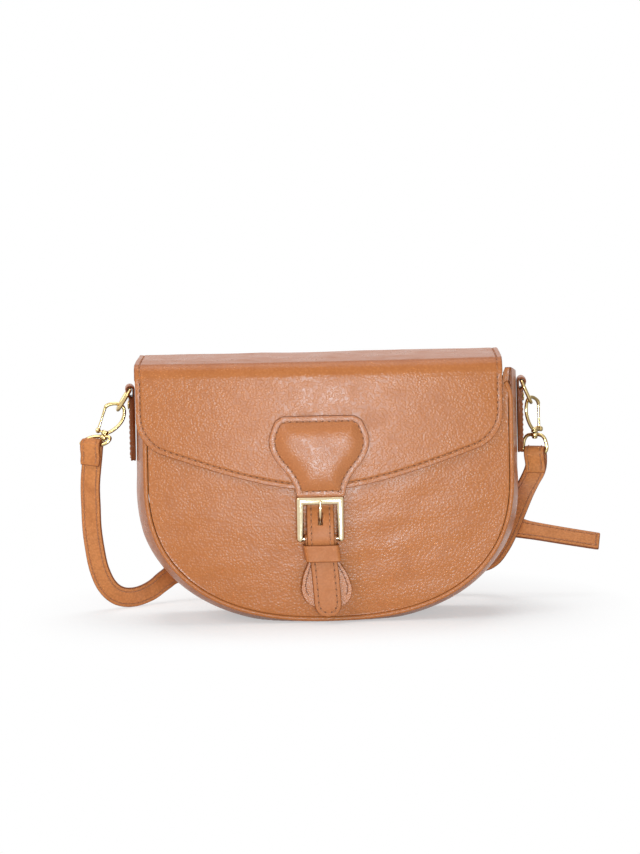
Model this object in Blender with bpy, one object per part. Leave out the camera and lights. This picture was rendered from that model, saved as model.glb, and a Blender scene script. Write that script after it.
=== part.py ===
"""Leather saddle shoulder bag: D-shaped piped body, full flap, dressed buckle closure, clipped strap.

Metres, +Z up. The front faces -Y and +X is to the viewer's right. The origin is the middle of the
flattened base. Seam curves, panels and straps are worked out from the sizes below.
"""

import math

import bmesh
import bpy
import numpy as np
from mathutils import Matrix, Vector

# Body
SEAM_WIDTH = 0.2300
BODY_DEPTH = 0.0700
BODY_HEIGHT = 0.1650
SEAM_BASE = 0.0036
BELLY_HEIGHT = 0.0880
BELLY_POWER = 2.4
FRONT_TOP_DROP = 0.0160
GUSSET_TOP_DROP = 0.0100
PANEL_THICKNESS = 0.0016
GUSSET_THICKNESS = 0.0018
PANEL_BULGE = 0.0050
GUSSET_BULGE = 0.0040
PIPING_RADIUS = 0.0015
LINING_THICKNESS = 0.0008
LINING_SLACK = 0.0018
GAP = 0.0003
OVERRUN = 0.0040

# Flap
FLAP_WIDTH = 0.2300
FLAP_SHIFT = -0.0055
FLAP_THICKNESS = 0.0014
FLAP_LINING_THICKNESS = 0.0008
FLAP_FOLD_RADIUS = 0.0070
FLAP_DROP = 0.0015
FLAP_TIP_SHARE = 17 / 33
FLAP_EDGE_BEND = 0.0207
FLAP_EDGE_SLOPE_SHARE = 0.40
FLAP_CORNER_RADIUS = 0.0240
FLAP_LINING_INSET = 0.0040

# Padded patch on the flap, as (height above its foot, width) pairs of shares
PATCH_HEIGHT = 0.0480
PATCH_WIDTH = 0.0620
PATCH_FOOT_DROP = 0.0040
PATCH_THICKNESS = 0.0014
PATCH_PUFF = 0.0036
PATCH_WIDTH_SHARES = (0.47, 0.53, 0.66, 0.85, 0.97, 1.00, 0.93, 0.82)

# Closure tab, tongue and dressed buckle; heights below the keeper are shares of the keeper's own
TONGUE_TIP_SHARE = 25 / 198
TAB_FOOT_SHARE = 25 / 99
TAB_BASE_SHARE = 115 / 198
MAGNET_SHARE = 65 / 99
CLOSURE_TILT_DEG = 3.5
CLOSURE_STANDOFF = 0.0010
MAGNET_STANDOFF = 0.0067
TONGUE_WIDTH = 0.0160
TONGUE_THICKNESS = 0.0020
TAB_LAYER = 0.0012
TAB_NECK_WIDTH = 0.0190
TAB_BASE_WIDTH = 0.0310
KEEPER_HEIGHT = 0.0102
KEEPER_CLEARANCE = 0.0020
KEEPER_THICKNESS = 0.0013
BUCKLE_WIDTH = 0.0298
BUCKLE_HEIGHT = 0.0279
BUCKLE_BAR = 0.0044
BUCKLE_TOP_BAR = 0.0050
BUCKLE_THICKNESS = 0.0028
BUCKLE_BEVEL = 0.0007
BUCKLE_DROP = 0.0013
HEEL_RADIUS = 0.0012
HEEL_INSET = 0.0013
PRONG_RADIUS = 0.0010
PRONG_HOLE_WIDTH = 0.0030
PRONG_HOLE_LENGTH = 0.0100
STUD_RADIUS = 0.0070
STUD_THICKNESS = 0.0013
STUD_BOSS_RADIUS = 0.0021
STUD_BOSS_LENGTH = 0.0010
SOCKET_RADIUS = 0.0080
SOCKET_THICKNESS = 0.0016
SOCKET_HOLE_RADIUS = 0.0034
WASHER_RADIUS = 0.0070
WASHER_THICKNESS = 0.0007

# Side tabs, D-rings and snap hooks
TAB_WIDTH = 0.0130
TAB_THICKNESS = 0.0016
TAB_LENGTH = 0.0450
RING_BAR_DROP = 0.0190
RING_WIDTH = 0.0180
RING_DEPTH = 0.0150
RING_WIRE = 0.0023
RIVET_RADIUS = 0.0028
RIVET_HEAD = 0.0010
RIVET_DROP = 0.0100
LEFT_RING_LEAN_DEG = 32.0
RIGHT_RING_LEAN_DEG = 23.0
BOW_WIRE = 0.0022
BOW_HEIGHT = 0.0214
BOW_WIDTH = 0.0128
RING_SEAT = 0.0180
RING_SEAT_OFFSET = 0.0028
COLLAR_RADIUS = 0.0023
COLLAR_HEIGHT = 0.0030
STEM_RADIUS = 0.0010
STEM_HEAD_RADIUS = 0.0018
STEM_HEAD = 0.0010
GATE_WIDTH = 0.0018
GATE_EYE_RADIUS = 0.0016
GATE_PIN_RADIUS = 0.0007
CHEEK_THICKNESS = 0.0010
SWIVEL_WIDTH = 0.0157
SWIVEL_DROP = 0.0098
SWIVEL_WIRE = 0.0023
BOSS_RADIUS = 0.0025
BOSS_HEIGHT = 0.0026
LEFT_HOOK_LEAN_DEG = 20.0
RIGHT_HOOK_LEAN_DEG = -1.0
RIGHT_HOOK_YAW_DEG = 50.0
RIGHT_SWIVEL_YAW_DEG = 20.0
LEFT_SWIVEL_YAW_DEG = 25.0

# Strap
STRAP_WIDTH = 0.0122
STRAP_THICKNESS = 0.0024
STRAP_STEP = 0.0085
FOLD_LENGTH = 0.0150
ADJUSTER_LENGTH = 0.0240
ADJUSTER_WIDTH = 0.0210
ADJUSTER_BAR = 0.0030
ADJUSTER_THICKNESS = 0.0024
STRAP_KEEPER_WIDTH = 0.0080
STRAP_KEEPER_THICKNESS = 0.0012
STRAP_KEEPER_FIRST = 0.0115
STRAP_KEEPER_SPACING = 0.0135
STRAIGHT_LENGTH = 0.0640

# Places along the straps: x in half seam widths, y in body depths, z in body heights,
# then the width's direction
ADJUSTER_SHARES = (3 / 23, 423 / 350, 4 / 33)
LONG_STRAP_SHARES = (
    (-1.294, 0.10, 0.515, 0.87, -0.45, -0.12),
    (-1.280, 0.23, 0.412, 0.88, -0.47, 0.00),
    (-1.271, 0.31, 0.333, 0.88, -0.47, 0.00),
    (-1.257, 0.43, 0.255, 0.88, -0.46, 0.08),
    (-1.230, 0.54, 0.170, 0.85, -0.45, 0.25),
    (-1.185, 0.66, 0.106, 0.72, -0.42, 0.55),
    (-1.117, 0.76, 0.066, 0.45, -0.30, 0.84),
    (-1.035, 0.87, 0.051, 0.22, -0.15, 0.96),
    (-0.939, 1.03, 0.063, 0.05, 0.00, 1.00),
    (-0.867, 1.14, 0.081, -0.10, 0.00, 1.00),
    (-0.800, 1.22, 0.090, -0.05, 0.00, 1.00),
    (-0.700, 1.29, 0.075, 0.05, 0.00, 1.00),
    (-0.580, 1.37, 0.048, 0.05, 0.00, 1.00),
    (-0.440, 1.44, 0.039, 0.00, 0.00, 1.00),
    (-0.200, 1.51, 0.039, 0.00, 0.00, 1.00),
    (0.080, 1.58, 0.039, 0.00, 0.00, 1.00),
    (0.320, 1.75, 0.039, 0.00, 0.00, 1.00),
    (0.460, 2.07, 0.039, 0.00, 0.00, 1.00),
    (0.420, 2.42, 0.039, 0.00, 0.00, 1.00),
    (0.180, 2.66, 0.039, 0.00, 0.00, 1.00),
    (-0.120, 2.70, 0.039, 0.00, 0.00, 1.00),
    (-0.380, 2.54, 0.039, 0.00, 0.00, 1.00),
    (-0.520, 2.22, 0.041, 0.00, 0.00, 1.00),
    (-0.535, 1.86, 0.073, 0.00, 0.00, 1.00),
    (-0.460, 1.56, 0.115, 0.00, 0.00, 1.00),
    (-0.290, 1.33, 0.128, 0.00, 0.00, 1.00),
    (-0.110, 1.22, 0.123, 0.00, 0.00, 1.00),
)
SHORT_STRAP_SHARES = (
    (1.136, 0.15, 0.530, 0.97, -0.20, -0.05),
    (1.109, 0.27, 0.488, 0.98, 0.05, -0.12),
    (1.089, 0.41, 0.458, 0.96, 0.05, -0.25),
    (1.066, 0.57, 0.421, 0.93, 0.05, -0.35),
    (1.028, 0.74, 0.345, 0.92, 0.00, -0.38),
    (0.990, 0.87, 0.267, 0.91, 0.00, -0.42),
    (0.946, 0.99, 0.200, 0.80, 0.00, -0.60),
    (0.891, 1.09, 0.152, 0.50, 0.00, -0.86),
    (0.826, 1.17, 0.127, 0.15, 0.00, -0.98),
)
TAIL_SHARES = (
    (0.860, 1.26, 0.150, 0.42, 0.00, -0.90),
    (0.945, 1.22, 0.215, 0.52, 0.00, -0.85),
    (1.035, 1.14, 0.268, 0.25, 0.00, -0.97),
    (1.130, 1.08, 0.276, -0.05, 0.00, -1.00),
    (1.300, 1.06, 0.257, -0.12, 0.00, -0.99),
)
TAIL_END_SHARES = (1.490, 1.06, 0.236)

SEAM_HALF = SEAM_WIDTH / 2
HALF_DEPTH = BODY_DEPTH / 2
ADJUSTER_X = SEAM_HALF * ADJUSTER_SHARES[0]
ADJUSTER_Y = BODY_DEPTH * ADJUSTER_SHARES[1]
ADJUSTER_Z = BODY_HEIGHT * ADJUSTER_SHARES[2]
BELLY_CENTRE = SEAM_BASE + BELLY_HEIGHT
FRONT_TOP = BODY_HEIGHT - FRONT_TOP_DROP
GUSSET_TOP = BODY_HEIGHT - GUSSET_TOP_DROP
RING_BAR_HEIGHT = BODY_HEIGHT - RING_BAR_DROP
TAB_FOOT = RING_BAR_HEIGHT - TAB_LENGTH
FLAP_TOTAL = FLAP_LINING_THICKNESS + GAP + FLAP_THICKNESS
HINGE_HEIGHT = BODY_HEIGHT - FLAP_DROP - FLAP_TOTAL / 2
HINGE_Y = HALF_DEPTH
BACK_TOP = HINGE_HEIGHT - FLAP_TOTAL / 2 - GAP
FLAP_FACE = HALF_DEPTH + PIPING_RADIUS + GAP
FRONT_SKIN = HALF_DEPTH + PANEL_THICKNESS / 2 + PANEL_BULGE
RING_RADIUS = RING_WIRE / 2
BOW_RADIUS = BOW_WIRE / 2
SWIVEL_RADIUS = SWIVEL_WIRE / 2
EYE_RADIUS = RING_RADIUS + GAP + TAB_THICKNESS / 2
GUSSET_SIDE = SEAM_HALF + GUSSET_THICKNESS / 2 + GUSSET_BULGE
RING_BAR_X = GUSSET_SIDE + GAP + TAB_THICKNESS / 2 + EYE_RADIUS
CLOSURE_PIVOT_X = FLAP_SHIFT
FLAP_TIP_HEIGHT = BODY_HEIGHT * FLAP_TIP_SHARE
CLOSURE_TOP = FLAP_TIP_HEIGHT - PATCH_FOOT_DROP
KEEPER_FOOT = CLOSURE_TOP - BUCKLE_DROP - BUCKLE_HEIGHT - KEEPER_CLEARANCE - KEEPER_HEIGHT
TONGUE_TIP_HEIGHT = KEEPER_FOOT * TONGUE_TIP_SHARE
TAB_FOOT_HEIGHT = KEEPER_FOOT * TAB_FOOT_SHARE
TAB_BASE_HEIGHT = KEEPER_FOOT * TAB_BASE_SHARE
MAGNET_HEIGHT = KEEPER_FOOT * MAGNET_SHARE
CLOSURE_BACK = FRONT_SKIN + GAP + FLAP_TOTAL + CLOSURE_STANDOFF
TONGUE_BEHIND = GAP + TONGUE_THICKNESS / 2

LEATHER = ("leather", (0.50, 0.20, 0.08, 1.0), 0.5, 0.0)
PATCH_LEATHER = ("patch_leather", (0.47, 0.18, 0.07, 1.0), 0.45, 0.0)
STRAP_LEATHER = ("strap_leather", (0.52, 0.21, 0.09, 1.0), 0.5, 0.0)
SUEDE = ("suede", (0.44, 0.26, 0.15, 1.0), 0.9, 0.0)
FOAM = ("foam", (0.75, 0.70, 0.60, 1.0), 0.9, 0.0)
PALE_GOLD = ("pale_gold", (0.80, 0.64, 0.38, 1.0), 0.2, 1.0)
HOOK_GOLD = ("hook_gold", (0.78, 0.58, 0.25, 1.0), 0.2, 1.0)
STEEL = ("steel", (0.60, 0.60, 0.58, 1.0), 0.35, 1.0)


def clear_scene():
    """Remove every object that the new file starts with."""
    for obj in list(bpy.data.objects):
        bpy.data.objects.remove(obj, do_unlink=True)


def principled(name, colour, roughness, metallic):
    """One named Principled material."""
    material = bpy.data.materials.new(name)
    material.use_nodes = True
    shader = material.node_tree.nodes["Principled BSDF"]
    shader.inputs["Base Color"].default_value = colour
    shader.inputs["Roughness"].default_value = roughness
    shader.inputs["Metallic"].default_value = metallic
    return material


def add_object(name, mesh, finish, smooth=True):
    """Put a mesh in the scene as a named part with a material of its own."""
    shape = bmesh.new()
    shape.from_mesh(mesh)
    bmesh.ops.recalc_face_normals(shape, faces=shape.faces)
    shape.to_mesh(mesh)
    shape.free()
    if smooth:
        mesh.shade_smooth()
        mesh.set_sharp_from_angle(angle=math.radians(35.0))
    mesh.materials.append(principled(name + "_" + finish[0], *finish[1:]))
    obj = bpy.data.objects.new(name, mesh)
    bpy.context.scene.collection.objects.link(obj)
    return obj


def helper(name, mesh):
    """A cutter or an operand: kept in the file, never drawn."""
    obj = add_object(name, mesh, STEEL, smooth=False)
    obj.hide_render = True
    obj.display_type = "WIRE"
    return obj


def combine(obj, operation, *others):
    """Boolean the others into obj, one modifier each."""
    for other in others:
        modifier = obj.modifiers.new(other.name, "BOOLEAN")
        modifier.operation = operation
        modifier.object = other
    return obj


def pivot(name, place, turn=None):
    """An empty on a joint's axis, which carries the pieces that move about it."""
    empty = bpy.data.objects.new(name, None)
    empty.empty_display_size = PATCH_WIDTH / 4
    empty.matrix_world = Matrix.Translation(Vector(place)) @ (turn or Matrix.Identity(4))
    bpy.context.scene.collection.objects.link(empty)
    return empty


def hang(empty, upper):
    """Let an empty follow an upper one without moving it."""
    empty.parent = upper
    empty.matrix_parent_inverse = upper.matrix_world.inverted()


def carry(empty, *pieces):
    """Parent pieces made in world coordinates to an empty, with their origins on it."""
    back = empty.matrix_world.inverted()
    for piece in pieces:
        piece.data.transform(back)
        if empty.type == "EMPTY":
            piece.parent = empty


def grid_faces(rows, columns, first, wrap=False):
    """Quads of a grid of rows by columns whose points start at index first."""
    last = columns if wrap else columns - 1
    faces = []
    for row in range(rows - 1):
        for column in range(last):
            right = (column + 1) % columns
            a = first + row * columns
            faces.append((a + column, a + right, a + columns + right, a + columns + column))
    return faces


def slab_mesh(name, front, back):
    """A closed plate between two grids of points of one size, front and back, shape (rows, columns, 3)."""
    rows, columns, _ = front.shape
    count = rows * columns
    faces = grid_faces(rows, columns, 0)
    faces += [tuple(reversed([index + count for index in face])) for face in faces]
    rim = [column for column in range(columns)]
    rim += [row * columns + columns - 1 for row in range(1, rows)]
    rim += [(rows - 1) * columns + column for column in range(columns - 2, -1, -1)]
    rim += [row * columns for row in range(rows - 2, 0, -1)]
    for here, there in zip(rim, rim[1:] + rim[:1]):
        faces.append((there, here, here + count, there + count))
    points = np.concatenate([front.reshape(-1, 3), back.reshape(-1, 3)])
    mesh = bpy.data.meshes.new(name)
    mesh.from_pydata(points.tolist(), [], faces)
    return mesh


def unit(vectors):
    """Each vector of an array at length one."""
    return vectors / np.linalg.norm(vectors, axis=-1, keepdims=True)


def directions(points, closed=False):
    """The unit tangent at each point of a line."""
    if closed:
        return unit(np.roll(points, -1, axis=0) - np.roll(points, 1, axis=0))
    return unit(np.gradient(points, axis=0))


def tube_mesh(name, points, radius, sides=8, closed=False, start=None):
    """A round wire along points, carried without twist; radius is one value or one for each point."""
    points = np.asarray(points, float)
    tangents = directions(points, closed)
    side = np.asarray(start if start is not None else (0.0, 1.0, 0.0), float)
    radii = np.broadcast_to(radius, len(points))
    angles = np.arange(sides) * 2 * math.pi / sides
    rings = []
    for point, tangent, size in zip(points, tangents, radii):
        side = unit(side - tangent * side.dot(tangent))
        up = np.cross(tangent, side)
        rings.append(point + size * (np.outer(np.cos(angles), side) + np.outer(np.sin(angles), up)))
    count = len(points)
    faces = grid_faces(count, sides, 0, wrap=True)
    if closed:
        base = (count - 1) * sides
        faces += [(base + k, base + (k + 1) % sides, (k + 1) % sides, k) for k in range(sides)]
    else:
        faces.append(tuple(range(sides - 1, -1, -1)))
        faces.append(tuple(range((count - 1) * sides, count * sides)))
    mesh = bpy.data.meshes.new(name)
    mesh.from_pydata(np.concatenate(rings).tolist(), [], faces)
    return mesh


def rod_mesh(name, start, end, radius, sides=12):
    """A straight round rod between two points."""
    start = np.asarray(start, float)
    end = np.asarray(end, float)
    lean = np.abs(unit(end - start))
    side = np.eye(3)[int(np.argmin(lean))]
    return tube_mesh(name, [start, end], radius, sides, start=side)


def helper_rod(name, start, end, radius, sides=12):
    """A helper in the form of a straight round rod."""
    return helper(name, rod_mesh(name, start, end, radius, sides))


def box_mesh(name, low, high):
    """A plain box between two corners."""
    low = Vector(low)
    high = Vector(high)
    mesh = bpy.data.meshes.new(name)
    shape = bmesh.new()
    size = high - low
    place = Matrix.Translation((low + high) / 2) @ Matrix.Diagonal(size.to_4d())
    bmesh.ops.create_cube(shape, size=1.0, matrix=place)
    shape.to_mesh(mesh)
    shape.free()
    return mesh


def smooth_line(points, step):
    """Points read at about even steps from a centripetal curve through the given rows of numbers.

    The first three columns are the place, and the others, such as a width direction, ride along.
    """
    points = np.asarray(points, float)
    ends = np.concatenate([[2 * points[0] - points[1]], points, [2 * points[-1] - points[-2]]])
    rows = []
    for before, here, there, after in zip(ends, ends[1:], ends[2:], ends[3:]):
        reach = np.linalg.norm((there - here)[:3])
        count = max(1, int(round(reach / step)))
        for share in np.arange(count) / count:
            square = share * share
            cube = square * share
            bend = (2 * before - 5 * here + 4 * there - after) * square
            bend = bend + (3 * here - before - 3 * there + after) * cube
            rows.append((2 * here + (there - before) * share + bend) / 2)
    rows.append(points[-1])
    return np.array(rows)


def ribbon_mesh(name, centre, across, width, thickness):
    """A flat strap from its centre line, its width's directions and one or many widths."""
    tangents = directions(centre)
    across = unit(across - tangents * np.sum(across * tangents, axis=1, keepdims=True))
    facing = np.cross(tangents, across)
    half = np.broadcast_to(np.asarray(width) / 2, len(centre))[:, None]
    middle = np.stack([centre - across * half, centre + across * half], axis=1)
    lift = (facing * thickness / 2)[:, None, :]
    return slab_mesh(name, middle + lift, middle - lift)


def seam_line(steps, inset, top):
    """The D-shaped seam seen from the front: straight sides down to the belly, then a superellipse.

    Returns (x, z) points from the top left, round the bottom, to the top right.
    """
    half = SEAM_HALF - inset
    drop = BELLY_HEIGHT - inset
    angles = np.linspace(math.pi, 2 * math.pi, steps)
    cosine = np.cos(angles)
    sine = np.sin(angles)
    x = half * np.sign(cosine) * np.abs(cosine) ** (2 / BELLY_POWER)
    z = BELLY_CENTRE - drop * np.abs(sine) ** (2 / BELLY_POWER)
    heights = np.linspace(top, BELLY_CENTRE, 4)[:-1]
    left = np.stack([np.full(3, -half), heights], axis=1)
    right = left[::-1] * np.array([-1.0, 1.0])
    return np.concatenate([left, np.stack([x, z], axis=1), right])


def swell(x, z):
    """The share of its full bulge that a panel has at a point: one in the middle, zero at the seam."""
    across = np.abs(x) / SEAM_HALF
    below = np.clip((BELLY_CENTRE - z) / BELLY_HEIGHT, 0, 1)
    return np.clip(1 - (across**BELLY_POWER + below**BELLY_POWER) ** (2 / BELLY_POWER), 0, 1)


def d_grid(columns, rows, inset, top):
    """Grid of (x, z) points that fills the D outline: columns across, each from the belly up to the top."""
    half = SEAM_HALF - inset
    turn = np.linspace(-math.pi / 2, math.pi / 2, columns)
    x = half * np.sin(turn)
    drop = (1 - np.abs(np.sin(turn)) ** BELLY_POWER) ** (1 / BELLY_POWER)
    foot = BELLY_CENTRE - (BELLY_HEIGHT - inset) * drop
    share = np.linspace(0, 1, rows)[:, None] ** 1.3
    z = foot + (top - foot) * share
    return np.broadcast_to(x, z.shape), z


def top_fade(z, side):
    """The back draws in to the straight hinge line at its top edge; the front stays full."""
    rise = np.clip((z - BELLY_CENTRE) / (BACK_TOP - BELLY_CENTRE), 0, 1)
    return 1 - rise**2 * (side > 0)


def panel_mesh(name, side, top, columns=25, rows=9):
    """A front or back panel: the D outline, bulged out; side is -1 for the front and 1 for the back."""
    x, z = d_grid(columns, rows, PIPING_RADIUS + GAP, top)
    middle = HALF_DEPTH + PANEL_BULGE * swell(x, z) * top_fade(z, side)
    outer = np.stack([x, side * (middle + PANEL_THICKNESS / 2), z], axis=2)
    inner = np.stack([x, side * (middle - PANEL_THICKNESS / 2), z], axis=2)
    return slab_mesh(name, outer, inner)


def gusset_mesh(name, inset, thickness, half_width, bulge, top, floor, across=7):
    """The band between the panels: the seam line carried from front to back and crowned outwards."""
    line = seam_line(33, inset, top)
    normal = directions(line)[:, ::-1] * np.array([1.0, -1.0])
    shares = np.linspace(-1, 1, across)
    skins = []
    for offset in (thickness / 2, -thickness / 2):
        rows = []
        for share in shares:
            reach = offset + bulge * (1 - share * share)
            place = line + normal * reach
            height = np.maximum(place[:, 1], floor + thickness / 2 - offset)
            rows.append(np.stack([place[:, 0], np.full(len(line), share * half_width), height], axis=1))
        skins.append(np.array(rows))
    return slab_mesh(name, skins[0], skins[1])


def piping_mesh(name, side, top):
    """The corded seam round a panel."""
    line = seam_line(37, 0.0, top)
    points = np.stack([line[:, 0], np.full(len(line), side * HALF_DEPTH), line[:, 1]], axis=1)
    return tube_mesh(name, points, PIPING_RADIUS)


def lining_mesh(name):
    """The loose bag inside, open on top: down the front, along the band and up the back."""
    inset = GUSSET_THICKNESS / 2 + LINING_SLACK
    top = FRONT_TOP - LINING_SLACK
    x, z = d_grid(25, 6, inset, top)
    skins = []
    for offset in (LINING_THICKNESS, 0.0):
        scale = 1 - (LINING_THICKNESS - offset) / SEAM_HALF
        reach = HALF_DEPTH - PANEL_THICKNESS / 2 - LINING_SLACK - LINING_THICKNESS + offset
        face = reach + PANEL_BULGE * swell(x, z)
        drop = z + (LINING_THICKNESS - offset) * (z < top - LINING_THICKNESS)
        front = np.stack([x * scale, -face, drop], axis=2)[::-1]
        flat = reach + PANEL_BULGE * swell(x, z) * top_fade(z, 1)
        back = np.stack([x * scale, flat, drop], axis=2)
        skins.append(np.concatenate([front, back]))
    return slab_mesh(name, skins[0], skins[1])


def build_body():
    """Panels, band, piped seams and lining."""
    front = add_object("front_panel", panel_mesh("front_panel", -1, FRONT_TOP), LEATHER)
    back = add_object("back_panel", panel_mesh("back_panel", 1, BACK_TOP), LEATHER)
    half_width = HALF_DEPTH - PIPING_RADIUS - GAP
    band = gusset_mesh("gusset", 0.0, GUSSET_THICKNESS, half_width, GUSSET_BULGE, GUSSET_TOP, 0.0)
    gusset = add_object("gusset", band, LEATHER)
    front_piping = add_object("front_piping", piping_mesh("front_piping", -1, FRONT_TOP), LEATHER)
    back_piping = add_object("back_piping", piping_mesh("back_piping", 1, GUSSET_TOP), LEATHER)
    lining = add_object("lining", lining_mesh("lining"), SUEDE)
    return [front, back, gusset, front_piping, back_piping, lining]


def flap_edge(x, inset=0.0):
    """Height of the flap's lower edge: a shallow bow whose ends straighten, then a round corner."""
    half = FLAP_WIDTH / 2 - inset
    slope = FLAP_EDGE_SLOPE_SHARE
    x = np.abs(x)

    def bow(reach):
        return FLAP_TIP_HEIGHT + inset + np.sqrt(FLAP_EDGE_BEND**2 + (slope * reach) ** 2) - FLAP_EDGE_BEND

    lean = math.atan(slope)
    start = half - FLAP_CORNER_RADIUS * (1 - math.sin(lean))
    centre = bow(start) + FLAP_CORNER_RADIUS * math.cos(lean)
    reach = np.clip(x - (half - FLAP_CORNER_RADIUS), 0, FLAP_CORNER_RADIUS)
    corner = centre - np.sqrt(FLAP_CORNER_RADIUS**2 - reach**2)
    return np.where(x < start, bow(x), corner)


def flap_grid(low, high, inset, columns=29, drop_rows=6):
    """The flap between two heights over its inner face, as front and back grids.

    Each column runs from the hinge over the top, round the fold and down to the flap's edge.
    """
    half = FLAP_WIDTH / 2 - inset
    turn = np.linspace(-1, 1, columns)
    x = half * np.sin(turn * math.pi / 2)
    face = FLAP_FACE + PANEL_BULGE * (1 - (x / SEAM_HALF) ** 2)
    radius = FLAP_FOLD_RADIUS
    top = BODY_HEIGHT - FLAP_TOTAL
    edge = flap_edge(x, inset)
    start = HINGE_Y - inset
    skins = []
    for offset in (high, low):
        rows = []
        for share in np.linspace(0, 1, 5):
            y = start + (-(face - radius) - start) * share
            rise = FLAP_DROP * np.minimum(1.0, share * 1.5) - FLAP_DROP
            rows.append(np.stack([x + FLAP_SHIFT, y, top + rise + offset + 0 * x], axis=1))
        for angle in np.linspace(0, math.pi / 2, 5)[1:]:
            y = -(face - radius) - (radius + offset) * math.sin(angle)
            z = top - radius + (radius + offset) * math.cos(angle)
            rows.append(np.stack([x + FLAP_SHIFT, y, z + 0 * x], axis=1))
        for share in np.linspace(0, 1, drop_rows)[1:]:
            z = (top - radius) + (edge - (top - radius)) * share
            rows.append(np.stack([x + FLAP_SHIFT, -(face + offset), z], axis=1))
        skins.append(np.array(rows))
    return skins


def flap_front(x):
    """How far the flap's outer face stands before the body's middle at x."""
    return FLAP_FACE + FLAP_TOTAL + PANEL_BULGE * (1 - ((x - FLAP_SHIFT) / SEAM_HALF) ** 2)


def patch_grids(name, inner_share, low, high, puff_low, puff_high, rows=13, columns=13):
    """A pad on the flap's front: its outline read from the width shares, crowned between two heights."""
    knots = np.linspace(0, 1, len(PATCH_WIDTH_SHARES))
    rise = np.linspace(0, 1, rows)
    curve = smooth_line(np.stack([knots, np.array(PATCH_WIDTH_SHARES), 0 * knots], axis=1), knots[1] / 6)
    half = np.interp(rise, curve[:, 0], curve[:, 1]) * PATCH_WIDTH / 2 * inner_share
    corner = np.clip((rise - 0.94) / 0.06, 0, 1)
    half = half * (1 - 0.10 * corner**2)
    across = np.linspace(-1, 1, columns)
    x = half[:, None] * across[None, :]
    height = PATCH_HEIGHT * (0.5 + (rise - 0.5) * inner_share)
    z = CLOSURE_TOP + height[:, None] + 0 * x
    dome = (1 - across[None, :] ** 4) * (1 - (2 * rise[:, None] - 1) ** 6)
    x = x + CLOSURE_PIVOT_X - (z - CLOSURE_TOP) * math.tan(math.radians(CLOSURE_TILT_DEG)) * 0.25
    back = flap_front(x) + GAP
    skins = [np.stack([x, -(back + high + puff_high * dome), z], axis=2)]
    skins.append(np.stack([x, -(back + low + puff_low * dome), z], axis=2))
    return slab_mesh(name, skins[0], skins[1])


def build_flap():
    """The flap, its lining and the padded patch, carried at the back edge."""
    skins = flap_grid(FLAP_LINING_THICKNESS + GAP, FLAP_TOTAL, 0.0)
    flap = add_object("flap", slab_mesh("flap", *skins), LEATHER)
    skins = flap_grid(0.0, FLAP_LINING_THICKNESS, FLAP_LINING_INSET, columns=21, drop_rows=5)
    flap_lining = add_object("flap_lining", slab_mesh("flap_lining", *skins), SUEDE)
    patch = patch_grids("flap_patch", 1.0, 0.0, PATCH_THICKNESS, PATCH_PUFF - PATCH_THICKNESS, PATCH_PUFF)
    flap_patch = add_object("flap_patch", patch, PATCH_LEATHER)
    hollow = PATCH_PUFF - PATCH_THICKNESS - GAP
    foam = patch_grids("patch_padding", 0.82, 0.0, GAP, 0.0, hollow - GAP, rows=9, columns=9)
    padding = add_object("patch_padding", foam, FOAM)
    hinge = pivot("flap_hinge", (FLAP_SHIFT, HINGE_Y, HINGE_HEIGHT))
    carry(hinge, flap, flap_lining, flap_patch, padding)
    return hinge


def closure_place(path):
    """Points of (height, standoff) rows, from the tongue's top, in the closure's own frame."""
    path = np.asarray(path, float)
    return np.stack([0 * path[:, 0], -(path[:, 1] + TONGUE_BEHIND), path[:, 0]], axis=1)


def belt_mesh(name, path, widths, thickness, step):
    """A flat leather piece that runs along a path of (height, standoff) rows, with widths along it."""
    rows = np.concatenate([closure_place(path), np.asarray(widths, float)[:, None]], axis=1)
    line = smooth_line(rows, step)
    across = np.broadcast_to((1.0, 0.0, 0.0), (len(line), 3))
    return ribbon_mesh(name, line[:, :3], across, line[:, 3], thickness)


def rounded_end(width, start, end, count, power=2.0):
    """Rows of (height, width) that close a strap end from start to end as a superellipse."""
    shares = np.sin(np.linspace(0, math.pi / 2, count + 1)[1:] * 0.97)
    return [(start + (end - start) * s, width * (1 - s**power) ** (1 / power)) for s in shares]


def band_mesh(name, loop, across, width, thickness):
    """A closed flat band round a loop of points, such as a keeper."""
    loop = np.asarray(loop, float)
    tangents = directions(loop, closed=True)
    across = np.broadcast_to(across, loop.shape)
    facing = unit(np.cross(tangents, across)) * thickness / 2
    half = across * width / 2
    corners = [loop - half - facing, loop + half - facing, loop + half + facing, loop - half + facing]
    rows = np.stack(corners, axis=1)
    faces = grid_faces(len(loop), 4, 0, wrap=True)
    base = (len(loop) - 1) * 4
    faces += [(base + k, base + (k + 1) % 4, (k + 1) % 4, k) for k in range(4)]
    mesh = bpy.data.meshes.new(name)
    mesh.from_pydata(rows.reshape(-1, 3).tolist(), [], faces)
    return mesh


def rounded_box_loop(half_width, low, high, radius, corner=3):
    """A rectangle with round corners, as (across, out) points; low and high are its two standoffs."""
    centres = ((1, high), (-1, high), (-1, low), (1, low))
    points = []
    for index, (side, level) in enumerate(centres):
        middle = level - radius if level == high else level + radius
        for angle in np.linspace(0, math.pi / 2, corner) + index * math.pi / 2:
            reach = side * (half_width - radius) + radius * math.cos(angle)
            points.append((reach, middle + radius * math.sin(angle)))
    return np.array(points)


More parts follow.
